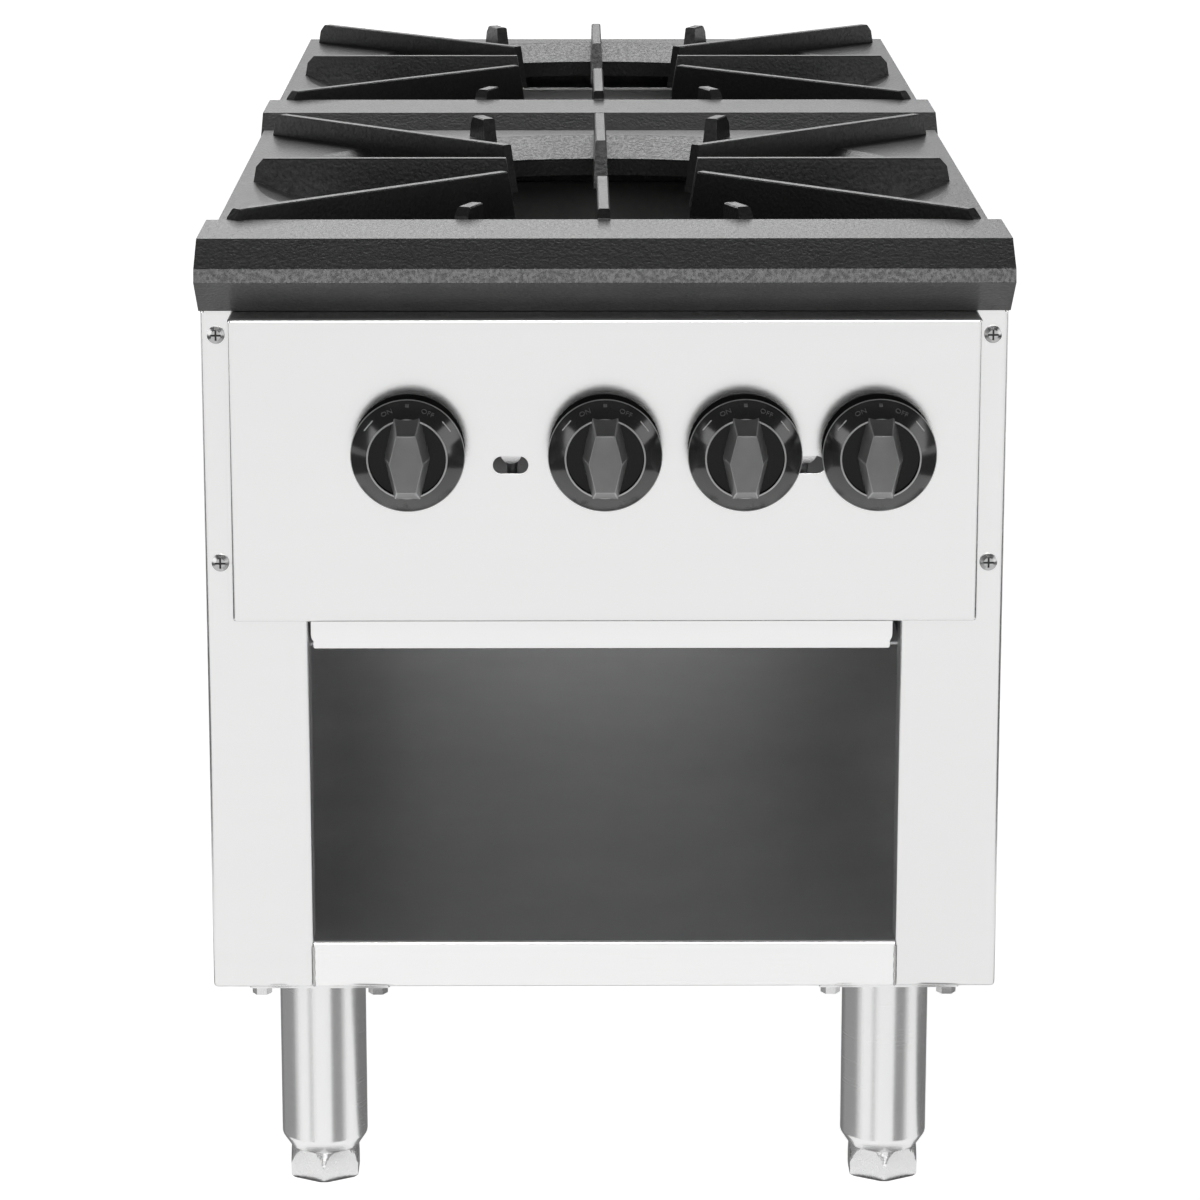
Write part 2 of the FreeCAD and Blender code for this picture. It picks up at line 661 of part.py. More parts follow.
def leg_bolts():
    """Every leg bolt with its nut."""
    bolts = []
    under = BODY_BOTTOM - PLATE_T
    over = BODY_BOTTOM + SHEET
    for x, y in bolt_spots():
        head = hexagon(BOLT_AF, under - BOLT_HEAD_H, under, (x, y), 0)
        shank = rod((x, y, under), BOLT_R, over + NUT_H + BOLT_PROUD - under, Z_AXIS)
        nut = hexagon(BOLT_AF, over, over + NUT_H, (x, y), 0)
        bolts.append(joined([head, shank, nut]))
    return Part.makeCompound(bolts)


# Grates

def rail_section(y0):
    """Outline of the hollow front rail as (y, z) pairs, y0 being the body front plane of its casting."""
    nose_top, nose_low = RAIL_NOSE
    wall = RAIL_WALL
    low_in, low_up = RAIL_LOW_WALLS
    high_in, high_down = RAIL_HIGH_WALLS
    return [
        (y0 + RAIL_BACK_Y, RAIL_TOP),
        (y0 + RAIL_FRONT_Y, RAIL_TOP),
        (y0 + nose_top[0], nose_top[1]),
        (y0 + nose_low[0], nose_low[1]),
        (y0 + RAIL_FOOT_Y, BODY_TOP),
        (y0, BODY_TOP),
        (y0, BODY_TOP + wall),
        (y0 + nose_low[0] + low_in * wall, nose_low[1] + low_up * wall),
        (y0 + nose_top[0] + high_in * wall, nose_top[1] - high_down * wall),
        (y0 + RAIL_FRONT_Y + RAIL_TOP_WALLS * wall, RAIL_TOP - wall),
        (y0 + RAIL_BACK_Y - wall, RAIL_TOP - wall),
        (y0 + RAIL_BACK_Y - wall, GRATE_TOP - GRATE_T),
        (y0 + RAIL_BACK_Y, GRATE_TOP - GRATE_T),
    ]


def rail(y0):
    """Front rail of a casting with closed ends."""
    bar = prism([(-HALF_W, y, z) for y, z in rail_section(y0)], V(BODY_W, 0, 0))
    outline = rail_section(y0)[:5] + [(y0 + RAIL_BACK_Y, BODY_TOP)]
    cap = prism([(-HALF_W, y, z) for y, z in outline], V(RAIL_CAP, 0, 0))
    return [bar, cap, mirrored(cap)]


def fin(span, width, angle, centre_y):
    """Drafted rib along a ray from the centre of a grate."""
    inner, outer = span
    top_w, base_w = width
    over, drop = FIN_CHAMFER
    ring_low = GRATE_TOP - DISH_DROP - GRATE_T + FIN_FOOT
    plate_low = GRATE_TOP - GRATE_T + FIN_FOOT
    side = [
        (inner + FIN_LEAN, 0, FIN_TOP),
        (outer - over, 0, FIN_TOP),
        (outer - FIN_FOOT, 0, FIN_TOP - drop),
        (outer, 0, GRATE_TOP - FIN_FOOT),
    ]
    if outer > DISH_R + FIN_FOOT:
        side.append((outer, 0, plate_low))
    if inner < HOLE_R:
        side += [(DISH_R, 0, plate_low), (HOLE_R + FIN_FOOT, 0, ring_low), (inner, 0, FIN_BASE)]
    else:
        side.append((inner, 0, plate_low))
    slab = prism([(s, -base_w, z) for s, _, z in side], V(0, 2 * base_w, 0))
    base = ring_low - FIN_FOOT
    section = [
        (0, -base_w / 2, base),
        (0, -top_w / 2, FIN_TOP - FIN_EDGE),
        (0, FIN_EDGE - top_w / 2, FIN_TOP),
        (0, top_w / 2 - FIN_EDGE, FIN_TOP),
        (0, top_w / 2, FIN_TOP - FIN_EDGE),
        (0, base_w / 2, base),
    ]
    rib = slab.common(prism(section, V(2 * outer, 0, 0)))
    rib.rotate(V(0, 0, 0), Z_AXIS, angle)
    rib.translate(V(0, centre_y, 0))
    return rib


def grate(y0):
    """One casting: rail, plate, skirt, dished ring, fins and stubs."""
    centre = y0 + GRATE_CENTRE_Y
    back = y0 + GRATE_BACK_Y
    half = GRATE_W / 2
    low = GRATE_TOP - GRATE_T
    front = y0 + RAIL_BACK_Y - RAIL_WALL
    plate = block(-half, half, front, back, low, GRATE_TOP)
    plate = plate.cut(rod((0, centre, low), DISH_R, GRATE_T, Z_AXIS))
    ring = spun(
        [
            (DISH_R, centre, GRATE_TOP),
            (HOLE_R, centre, GRATE_TOP - DISH_DROP),
            (HOLE_R, centre, low - DISH_DROP),
            (DISH_R, centre, low),
        ],
        (0, centre, 0),
        Z_AXIS,
    )
    skirts = [
        block(-half, SKIRT_T - half, front, back, BODY_TOP, low),
        block(half - SKIRT_T, half, front, back, BODY_TOP, low),
        block(-half, half, back - SKIRT_T, back, BODY_TOP, low),
    ]
    width = (FIN_TOP_W, FIN_BASE_W)
    fins = [fin(MIDDLE_FIN, width, angle, centre) for angle in (0, 180)]
    fins += [fin(DIAGONAL_FIN, width, angle, centre) for angle in (45, 135, 225, 315)]
    fins += [fin(CENTRE_FIN_REAR, width, 90, centre), fin(CENTRE_FIN_FRONT, width, 270, centre)]
    lean = (90 - STUB_ANGLE, 90 + STUB_ANGLE, 270 - STUB_ANGLE, 270 + STUB_ANGLE)
    fins += [fin(STUB_R, STUB_W, angle, centre) for angle in lean]
    return joined(rail(y0) + [plate, ring] + skirts + fins)


# Burners

def ring_pair(radii, centre_y):
    """Outside and gas space of one hollow burner ring."""
    small, large = radii
    wall = BURNER_WALL
    outside = rod((0, centre_y, BURNER_BOTTOM), large, BURNER_H, Z_AXIS)
    outside = outside.cut(rod((0, centre_y, BURNER_BOTTOM), small, BURNER_H, Z_AXIS))
    space = rod((0, centre_y, BURNER_BOTTOM + wall), large - wall, BURNER_H - 2 * wall, Z_AXIS)
    space = space.cut(rod((0, centre_y, BURNER_BOTTOM), small + wall, BURNER_H, Z_AXIS))
    return outside, space


def venturi_pair(x, start_y, end_y):
    """Outside and bore of a mixing tube with its riser into the ring above."""
    wall = VENTURI_WALL
    bell_y = start_y + VENTURI_BELL
    throat_y = bell_y + VENTURI_TAPER
    throat = VENTURI_THROAT_R
    pair = []
    for shrink, face in ((0, 0), (wall, VENTURI_FACE)):
        ends = [(VENTURI_R, start_y + face), (VENTURI_R, bell_y), (throat, throat_y), (throat, end_y)]
        points = [(x + r - shrink, y, OUTLET_Z) for r, y in ends]
        points = [(x, start_y + face, OUTLET_Z)] + points + [(x, end_y, OUTLET_Z)]
        tube = spun(points, (x, start_y, OUTLET_Z), Y_AXIS)
        radius = RISER_R - shrink
        base = OUTLET_Z - VENTURI_THROAT_R + shrink
        riser = rod((x, end_y, base), radius, BURNER_BOTTOM + BURNER_H / 2 - base, Z_AXIS)
        pair.append(joined([tube, riser]))
    outside, bore = pair
    return outside, joined([bore] + air_holes(x, start_y, VENTURI_FACE))


def air_holes(x, y, depth):
    """Cutters for the jet hole and the air windows of a mouth or shutter."""
    holes = [rod((x, y, OUTLET_Z), SHUTTER_HOLE_R, depth, Y_AXIS)]
    for angle in (0, 90, 180, 270):
        dx = WINDOW_AT * math.cos(math.radians(angle))
        dz = WINDOW_AT * math.sin(math.radians(angle))
        holes.append(rod((x + dx, y, OUTLET_Z + dz), WINDOW_R, depth, Y_AXIS))
    return holes


def outer_burner(centre_y, start_y):
    """Outer and middle ring joined by four arms, with mixing tube."""
    big, big_space = ring_pair(OUTER_RING, centre_y)
    small, small_space = ring_pair(MIDDLE_RING, centre_y)
    wall = BURNER_WALL
    arms = []
    spaces = []
    for angle in (45, 135, 225, 315):
        r0 = MIDDLE_RING[1] - wall - ARM_LAP
        r1 = OUTER_RING[0] + wall + ARM_LAP
        arm = block(r0, r1, -ARM_W / 2, ARM_W / 2, BURNER_BOTTOM, BURNER_TOP - wall)
        space = block(r0, r1, wall - ARM_W / 2, ARM_W / 2 - wall, BURNER_BOTTOM + wall, BURNER_TOP - 2 * wall)
        for shape, group in ((arm, arms), (space, spaces)):
            shape.rotate(V(0, 0, 0), Z_AXIS, angle)
            shape.translate(V(0, centre_y, 0))
            group.append(shape)
    tube, bore = venturi_pair(KNOB_X[0], start_y, centre_y + OUTER_FEED_Y)
    solid = joined([big, small, tube] + arms)
    return solid.cut(joined([big_space, small_space, bore] + spaces))


def inner_burner(centre_y, start_y):
    """Inner ring with mixing tube."""
    ring, space = ring_pair(INNER_RING, centre_y)
    tube, bore = venturi_pair(KNOB_X[1], start_y, centre_y + INNER_FEED_Y)
    return joined([ring, tube]).cut(joined([space, bore]))


def shutter(x, start_y):
    """Air shutter cup turning on the mouth of a mixing tube."""
    face_y = start_y - SHUTTER_PLAY
    inside = VENTURI_R + SHUTTER_PLAY
    cup = rod((x, face_y - SHUTTER_T, OUTLET_Z), inside + SHUTTER_WALL, SHUTTER_T + SHUTTER_RIM, Y_AXIS)
    mouth = rod((x, face_y, OUTLET_Z), inside, SHUTTER_RIM, Y_AXIS)
    return cup.cut([mouth] + air_holes(x, face_y - SHUTTER_T, SHUTTER_T))


def burner_frame(centre_y):
    """Bars between the side panels that the burner rings rest on."""
    low = BURNER_BOTTOM - FRAME_BAR_T
    half = FRAME_BAR_W / 2
    ends = [centre_y + y for y in FRAME_Y]
    bars = [block(-WALL_IN, WALL_IN, y - half, y + half, low, BURNER_BOTTOM) for y in ends]
    sides = [block(-WALL_IN, FRAME_SIDE_W - WALL_IN, ends[0], ends[1], low, BURNER_BOTTOM)]
    sides.append(block(WALL_IN - FRAME_SIDE_W, WALL_IN, ends[0], ends[1], low, BURNER_BOTTOM))
    return joined(bars + sides)


# Gas train

def valve(x):
    """Valve body: bonnet, plug body, inlet shank and rear-facing outlet."""
    bonnet = rod((x, BONNET_Y, KNOB_Z), BONNET_R, VALVE_Y - BONNET_Y, Y_AXIS)
    body = rod((x, VALVE_Y, KNOB_Z), VALVE_R, VALVE_L, Y_AXIS)
    inlet = rod((x, VALVE_Y, KNOB_Z), INLET_R, MANIFOLD_Y - PIPE_BORE_R - VALVE_Y, Y_AXIS)
    middle = VALVE_Y + VALVE_L / 2
    rise = rod((x, middle, KNOB_Z), OUTLET_R, OUTLET_RISE, Z_AXIS)
    knee = Part.makeSphere(OUTLET_R, V(x, middle, OUTLET_Z))
    spout = rod((x, middle, OUTLET_Z), OUTLET_R, OUTLET_END_Y - middle, Y_AXIS)
    bore = rod((x, BONNET_Y, KNOB_Z), STEM_R + STEM_PLAY, STEM_BURIED + SHEET - BONNET_Y, Y_AXIS)
    return joined([bonnet, body, inlet, rise, knee, spout]).cut(bore)


def stem(x):
    """Valve stem with a flat for the knob."""
    bar = rod((x, STEM_FRONT_Y, KNOB_Z), STEM_R, STEM_BURIED - STEM_FRONT_Y, Y_AXIS)
    grip_y = STEM_FRONT_Y + STEM_GRIP
    flat = block(x - STEM_R, x + STEM_R, STEM_FRONT_Y, grip_y, KNOB_Z + STEM_FLAT, KNOB_Z + STEM_R)
    return bar.cut(flat)


def knob(x):
    """Skirted knob with a recessed face and an elongated hexagonal grip."""
    cavity_y = KNOB_EDGE_Y + KNOB_WALL
    hub_y = KNOB_BACK_Y - KNOB_WALL
    lip_r = KNOB_INNER_R - KNOB_LIP
    edge = KNOB_LIP / 2
    profile = [
        (0, hub_y),
        (HUB_R, hub_y),
        (HUB_R, cavity_y),
        (KNOB_R - KNOB_WALL, cavity_y),
        (KNOB_R - KNOB_WALL, KNOB_BACK_Y),
        (KNOB_R, KNOB_BACK_Y),
        (KNOB_R, KNOB_EDGE_Y + edge),
        (KNOB_R - edge, KNOB_EDGE_Y),
        (KNOB_INNER_R, KNOB_RIM_Y),
        (lip_r, KNOB_RIM_Y),
        (lip_r - edge, KNOB_FLOOR_Y),
        (0, KNOB_FLOOR_Y),
    ]
    skirt = spun([(x + r, y, KNOB_Z) for r, y in profile], (x, 0, KNOB_Z), Y_AXIS)
    wires = []
    for (mid, end, reach), y in ((GRIP_BASE, KNOB_FLOOR_Y), (GRIP_FACE, KNOB_FACE_Y)):
        outline = [(mid, 0), (end, reach), (-end, reach), (-mid, 0), (-end, -reach), (end, -reach)]
        corners = [V(x + dx, y, KNOB_Z + dz) for dx, dz in outline]
        wires.append(Part.makePolygon(corners + corners[:1]))
    grip = Part.makeLoft(wires, True, True)
    return joined([skirt, grip]).cut(stem(x))


def pilot_valve(x):
    """Pilot adjusting valve on the manifold, with a slotted screw facing the panel slot."""
    length = MANIFOLD_Y - PILOT_FRONT_Y
    body = rod((x, PILOT_FRONT_Y, PILOT_Z), PILOT_R, length, Y_AXIS)
    hollow = rod((MANIFOLD_END_X, MANIFOLD_Y, KNOB_Z), PIPE_BORE_R, 2 * MANIFOLD_END_X, X_AXIS * -1)
    left, right = x - PILOT_R, x + PILOT_R
    beyond = block(left, right, MANIFOLD_Y - PILOT_R, MANIFOLD_Y + PILOT_R, PILOT_Z - PIPE_R, KNOB_Z)
    half = PILOT_SLIT / 2
    slit_y = PILOT_FRONT_Y + PILOT_SLIT
    slit = block(left, right, PILOT_FRONT_Y, slit_y, PILOT_Z - half, PILOT_Z + half)
    return body.cut([hollow, beyond, slit])


def pilot_line(start_x, end_x, centre_y):
    """Small tube from a pilot valve under the manifold to the burner, with its tip."""
    end_y = centre_y + PILOT_SPOT[1]
    tip_z = BURNER_TOP - PILOT_TIP_L
    path = [(start_x, PILOT_DROP_Y, PILOT_Z - PILOT_R), (start_x, PILOT_DROP_Y, PILOT_LINE_Z)]
    if start_x != end_x:
        turn_y = end_y - abs(start_x - end_x)
        path += [(start_x, turn_y, PILOT_LINE_Z), (end_x, turn_y, PILOT_LINE_Z)]
    path += [(end_x, end_y, PILOT_LINE_Z), (end_x, end_y, tip_z)]
    tip = rod((end_x, end_y, tip_z), PILOT_TIP_R, PILOT_TIP_L, Z_AXIS)
    return joined([bent_tube(path, PILOT_LINE_R, PILOT_BEND), tip])


def manifold():
    """Pipe behind the panel with sockets for the valves, closed at its right end."""
    start = SUPPLY_X + PIPE_SEAT
    length = MANIFOLD_END_X - start
    pipe = rod((start, MANIFOLD_Y, KNOB_Z), PIPE_R, length, X_AXIS)
    bore = rod((start, MANIFOLD_Y, KNOB_Z), PIPE_BORE_R, length - MANIFOLD_CAP, X_AXIS)
    sockets = [valve(x) for x in KNOB_X] + [pilot_valve(x) for x in SLOT_X]
    return pipe.cut([bore] + sockets)


def manifold_elbow():
    """Elbow between the manifold and the supply pipe."""
    corner = V(SUPPLY_X, MANIFOLD_Y, KNOB_Z)
    arms = [Part.makeCylinder(ELBOW_R, ELBOW_L + PIPE_SEAT, corner, axis) for axis in (X_AXIS, Y_AXIS)]
    length = ELBOW_L + PIPE_SEAT
    ways = (X_AXIS, Y_AXIS)
    pipes = [Part.makeCylinder(PIPE_R, length, corner + axis * PIPE_SEAT, axis) for axis in ways]
    bores = [Part.makeCylinder(PIPE_BORE_R, length, corner, axis) for axis in ways]
    ball = Part.makeSphere(ELBOW_R, corner)
    return joined(arms + [ball]).cut(pipes + bores + [Part.makeSphere(PIPE_BORE_R, corner)])


def supply_pipe():
    """Pipe from the elbow to the rear inlet."""
    start = MANIFOLD_Y + PIPE_SEAT
    length = SUPPLY_END_Y - start
    pipe = rod((SUPPLY_X, start, KNOB_Z), PIPE_R, length - THREAD_L, Y_AXIS)
    thread = rod((SUPPLY_X, SUPPLY_END_Y - THREAD_L, KNOB_Z), THREAD_R, THREAD_L, Y_AXIS)
    return joined([pipe, thread]).cut(rod((SUPPLY_X, start, KNOB_Z), PIPE_BORE_R, length, Y_AXIS))


def inlet_locknut():
    """Hexagonal locknut that holds the supply pipe to the back panel."""
    nut = hexagon(LOCKNUT_AF, 0, LOCKNUT_L, (0, 0), 0)
    nut = nut.cut(rod((0, 0, 0), PIPE_R, LOCKNUT_L, Z_AXIS))
    nut.rotate(V(0, 0, 0), X_AXIS, -90)
    nut.translate(V(SUPPLY_X, BACK_Y + SHEET, KNOB_Z))
    return nut


def manifold_bracket(x):
    """Plate that hangs the manifold from the front crossmember."""
    front = POST_RETURN + SHEET
    back = MANIFOLD_Y + PIPE_R + BRACKET_RIM
    low = KNOB_Z - PIPE_R - BRACKET_RIM
    high = INNER_TOP - CROSS_H + BRACKET_OVERLAP
    plate = block(x, x + BRACKET_T, front, back, low, high)
    return plate.cut(rod((x, MANIFOLD_Y, KNOB_Z), PIPE_R, BRACKET_T, X_AXIS))


def gas_tube(start_x, end_x, cross_y, end_y):
    """Tube from a valve outlet to the rear burner."""
    path = [
        (start_x, OUTLET_END_Y, OUTLET_Z),
        (start_x, cross_y, OUTLET_Z),
        (end_x, cross_y, OUTLET_Z),
        (end_x, end_y, OUTLET_Z),
    ]
    return bent_tube(path, TUBE_R, TUBE_BEND)


def orifice_spuds():
    """Orifice spuds in front of the four mixing tubes."""
    spuds = []
    for shift in (0, GRATE_PITCH):
        for x in KNOB_X[:2]:
            body = rod((x, OUTLET_END_Y + shift, OUTLET_Z), OUTLET_R, SPUD_L, Y_AXIS)
            spuds.append(body.cut(rod((x, OUTLET_END_Y + shift, OUTLET_Z), SPUD_BORE_R, SPUD_L, Y_AXIS)))
    return Part.makeCompound(spuds)


def main():
    """Draw and write every piece."""
    os.makedirs("parts", exist_ok=True)
    left = side_panel()
    save("left_side_panel", left)
    save("right_side_panel", mirrored(left))
    save("back_panel", back_panel())
    save("bottom_shelf", bottom_shelf())
    save("base_channel_front", base_channel(POST_RETURN, POST_RETURN + CHANNEL_D))
    save("base_channel_rear", base_channel(BACK_Y - CHANNEL_D, BACK_Y))
    save("front_crossmember", crossmember(POST_RETURN, CROSS_H))
    save("mid_crossmember", crossmember(MID_CROSS_Y, MID_CROSS_H))
    save("control_panel", control_panel())
    save("sheet_screws", sheet_screws())
    save("drip_tray", drip_tray())
    runner = tray_runner()
    save("tray_runner_left", runner)
    save("tray_runner_right", mirrored(runner))
    for name, (x, y) in leg_spots().items():
        save(f"leg_{name}", leg(x, y))
        save(f"foot_{name}", foot(x, y))
    save("leg_bolts", leg_bolts())
    save("front_grate", grate(0))
    save("rear_grate", grate(GRATE_PITCH))
    for place, shift in (("front", 0), ("rear", GRATE_PITCH)):
        centre_y = FIRST_CENTRE + shift
        start_y = VENTURI_START + shift
        save(f"{place}_outer_burner", outer_burner(centre_y, start_y))
        save(f"{place}_inner_burner", inner_burner(centre_y, start_y))
        save(f"{place}_outer_shutter", shutter(KNOB_X[0], start_y))
        save(f"{place}_inner_shutter", shutter(KNOB_X[1], start_y))
        save(f"{place}_burner_frame", burner_frame(centre_y))
    for name, x in zip(KNOB_NAMES, KNOB_X):
        save(f"{name}_valve", valve(x))
        save(f"{name}_stem", stem(x))
        save(f"{name}_knob", knob(x))
    save("manifold", manifold())
    save("manifold_elbow", manifold_elbow())
    save("manifold_bracket_left", manifold_bracket(BRACKET_X[0]))
    save("manifold_bracket_right", manifold_bracket(BRACKET_X[1]))
    save("supply_pipe", supply_pipe())
    save("inlet_locknut", inlet_locknut())
    tube_end = OUTLET_END_Y + GRATE_PITCH
    save("rear_outer_tube", gas_tube(KNOB_X[2], KNOB_X[0], TUBE_CROSS_Y[0], tube_end))
    save("rear_inner_tube", gas_tube(KNOB_X[3], KNOB_X[1], TUBE_CROSS_Y[1], tube_end))
    save("orifice_spuds", orifice_spuds())
    save("pilot_valve_front", pilot_valve(SLOT_X[0]))
    save("pilot_valve_rear", pilot_valve(SLOT_X[1]))
    save("pilot_line_front", pilot_line(SLOT_X[0], SLOT_X[0], FIRST_CENTRE))
    save("pilot_line_rear", pilot_line(SLOT_X[1], PILOT_SPOT[0], SECOND_CENTRE))


main()
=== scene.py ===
"""Looks of a two-burner gas stock-pot range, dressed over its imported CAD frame.

Metres. X runs to the right, Y from the knobs to the gas inlet, Z up from the floor.
"""
import logging
import math
from dataclasses import dataclass
from enum import Enum
from typing import Iterable, Sequence, Union

import bmesh
import bpy
from mathutils import Matrix, Vector


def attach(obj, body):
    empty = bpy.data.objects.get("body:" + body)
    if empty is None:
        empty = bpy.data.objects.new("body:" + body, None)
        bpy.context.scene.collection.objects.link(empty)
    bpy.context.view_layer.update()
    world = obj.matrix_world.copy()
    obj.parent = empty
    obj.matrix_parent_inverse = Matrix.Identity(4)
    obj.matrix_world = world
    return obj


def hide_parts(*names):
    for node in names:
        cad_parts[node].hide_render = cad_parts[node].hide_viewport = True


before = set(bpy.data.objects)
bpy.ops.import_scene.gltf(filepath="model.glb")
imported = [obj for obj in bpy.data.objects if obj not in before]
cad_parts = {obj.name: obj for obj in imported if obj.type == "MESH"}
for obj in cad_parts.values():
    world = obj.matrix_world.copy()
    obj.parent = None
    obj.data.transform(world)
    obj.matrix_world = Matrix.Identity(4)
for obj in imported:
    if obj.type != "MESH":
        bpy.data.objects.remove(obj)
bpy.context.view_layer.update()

LOG = logging.getLogger("stock_pot_range")

Pair = tuple[float, float]
Triple = tuple[float, float, float]
Colour = Triple

MM = 0.001
FRONT_Y = -0.5045
BODY = "range_body"

# Millimetres, as place() takes them; the rings are radii with their numbers of ports
KNOB_X = {"front_outer": -110.0, "front_inner": 0.0, "rear_outer": 78.0, "rear_inner": 153.0}
BURNER_Y = {"front": 272.5, "rear": 820.5}
OUTER_PORTS = ((132.0, 64), (124.0, 56), (82.0, 40))
INNER_PORTS = ((42.0, 24), (33.0, 18))

# Corners of the cabinet's dull inside, and of the tray pan's inside, which is dull and painted dark as
# shade
INSIDE_LOW = (-0.2277, -0.5037, 0.1295)
INSIDE_HIGH = (0.2277, 0.5488, 0.5302)
TRAY_SHADE_LOW = (-0.1667, -0.5027, 0.3326)
TRAY_SHADE_HIGH = (0.1635, 0.5268, 0.3472)
SPOTS = tuple(KNOB_X)
CORNERS = ("front_left", "front_right", "rear_left", "rear_right")

# Meshing: gaps in metres, angles in degrees, numbers of faces
MERGE_GAP = 0.00001
SEAM_GAP = 1e-6
FLAT_ANGLE = 0.6
SHARP_ANGLE = 35.0
RIM_ANGLE = 75.0
CORNER_ANGLE = 50.0
EDGE_FACES = 2
CORNER_FACES = 4
FLAT_WEIGHT = 100


def place(x: float, y: float, z: float) -> Vector:
    """Turns drawing millimetres, with Y from the body's front plane, into metres of the row frame."""
    return Vector((x * MM, FRONT_Y + y * MM, z * MM))


class Brush(Enum):
    """The direction that a sheet was brushed in, as stretch factors of its streaks."""

    ALONG_X = (2.0, 900.0, 900.0)
    LEVEL = (2.5, 2.5, 900.0)


class Wire:
    """An output socket on which arithmetic adds Math nodes."""

    def __init__(self, tree: bpy.types.NodeTree, socket: bpy.types.NodeSocket) -> None:
        """Wraps one output socket of a node tree."""
        self.tree = tree
        self.socket = socket

    def _math(self, operation: str, first: "Term", second: "Term") -> "Wire":
        """Adds one Math node.

        Args:
            operation: The node's operation.
            first: A wire or number for the first input.
            second: A wire or number for the second input.

        Returns:
            The node's output.
        """
        node = self.tree.nodes.new("ShaderNodeMath")
        node.operation = operation
        for socket, term in zip(node.inputs, (first, second)):
            if isinstance(term, Wire):
                self.tree.links.new(term.socket, socket)
            else:
                socket.default_value = term
        return Wire(self.tree, node.outputs[0])

    def __add__(self, other: "Term") -> "Wire":
        """Sum of two terms."""
        return self._math("ADD", self, other)

    __radd__ = __add__

    def __sub__(self, other: "Term") -> "Wire":
        """Difference of two terms."""
        return self._math("SUBTRACT", self, other)

    def __rsub__(self, other: "Term") -> "Wire":
        """Difference with a number on the left."""
        return self._math("SUBTRACT", other, self)

    def __mul__(self, other: "Term") -> "Wire":
        """Product of two terms."""
        return self._math("MULTIPLY", self, other)

    __rmul__ = __mul__

    def __gt__(self, other: "Term") -> "Wire":
        """1 where the term is over the other, else 0."""
        return self._math("GREATER_THAN", self, other)

    def __lt__(self, other: "Term") -> "Wire":
        """1 where the term is under the other, else 0."""
        return self._math("LESS_THAN", self, other)

    def __abs__(self) -> "Wire":
        """The term without its sign."""
        return self._math("ABSOLUTE", self, 0.0)


Term = Union[Wire, float]


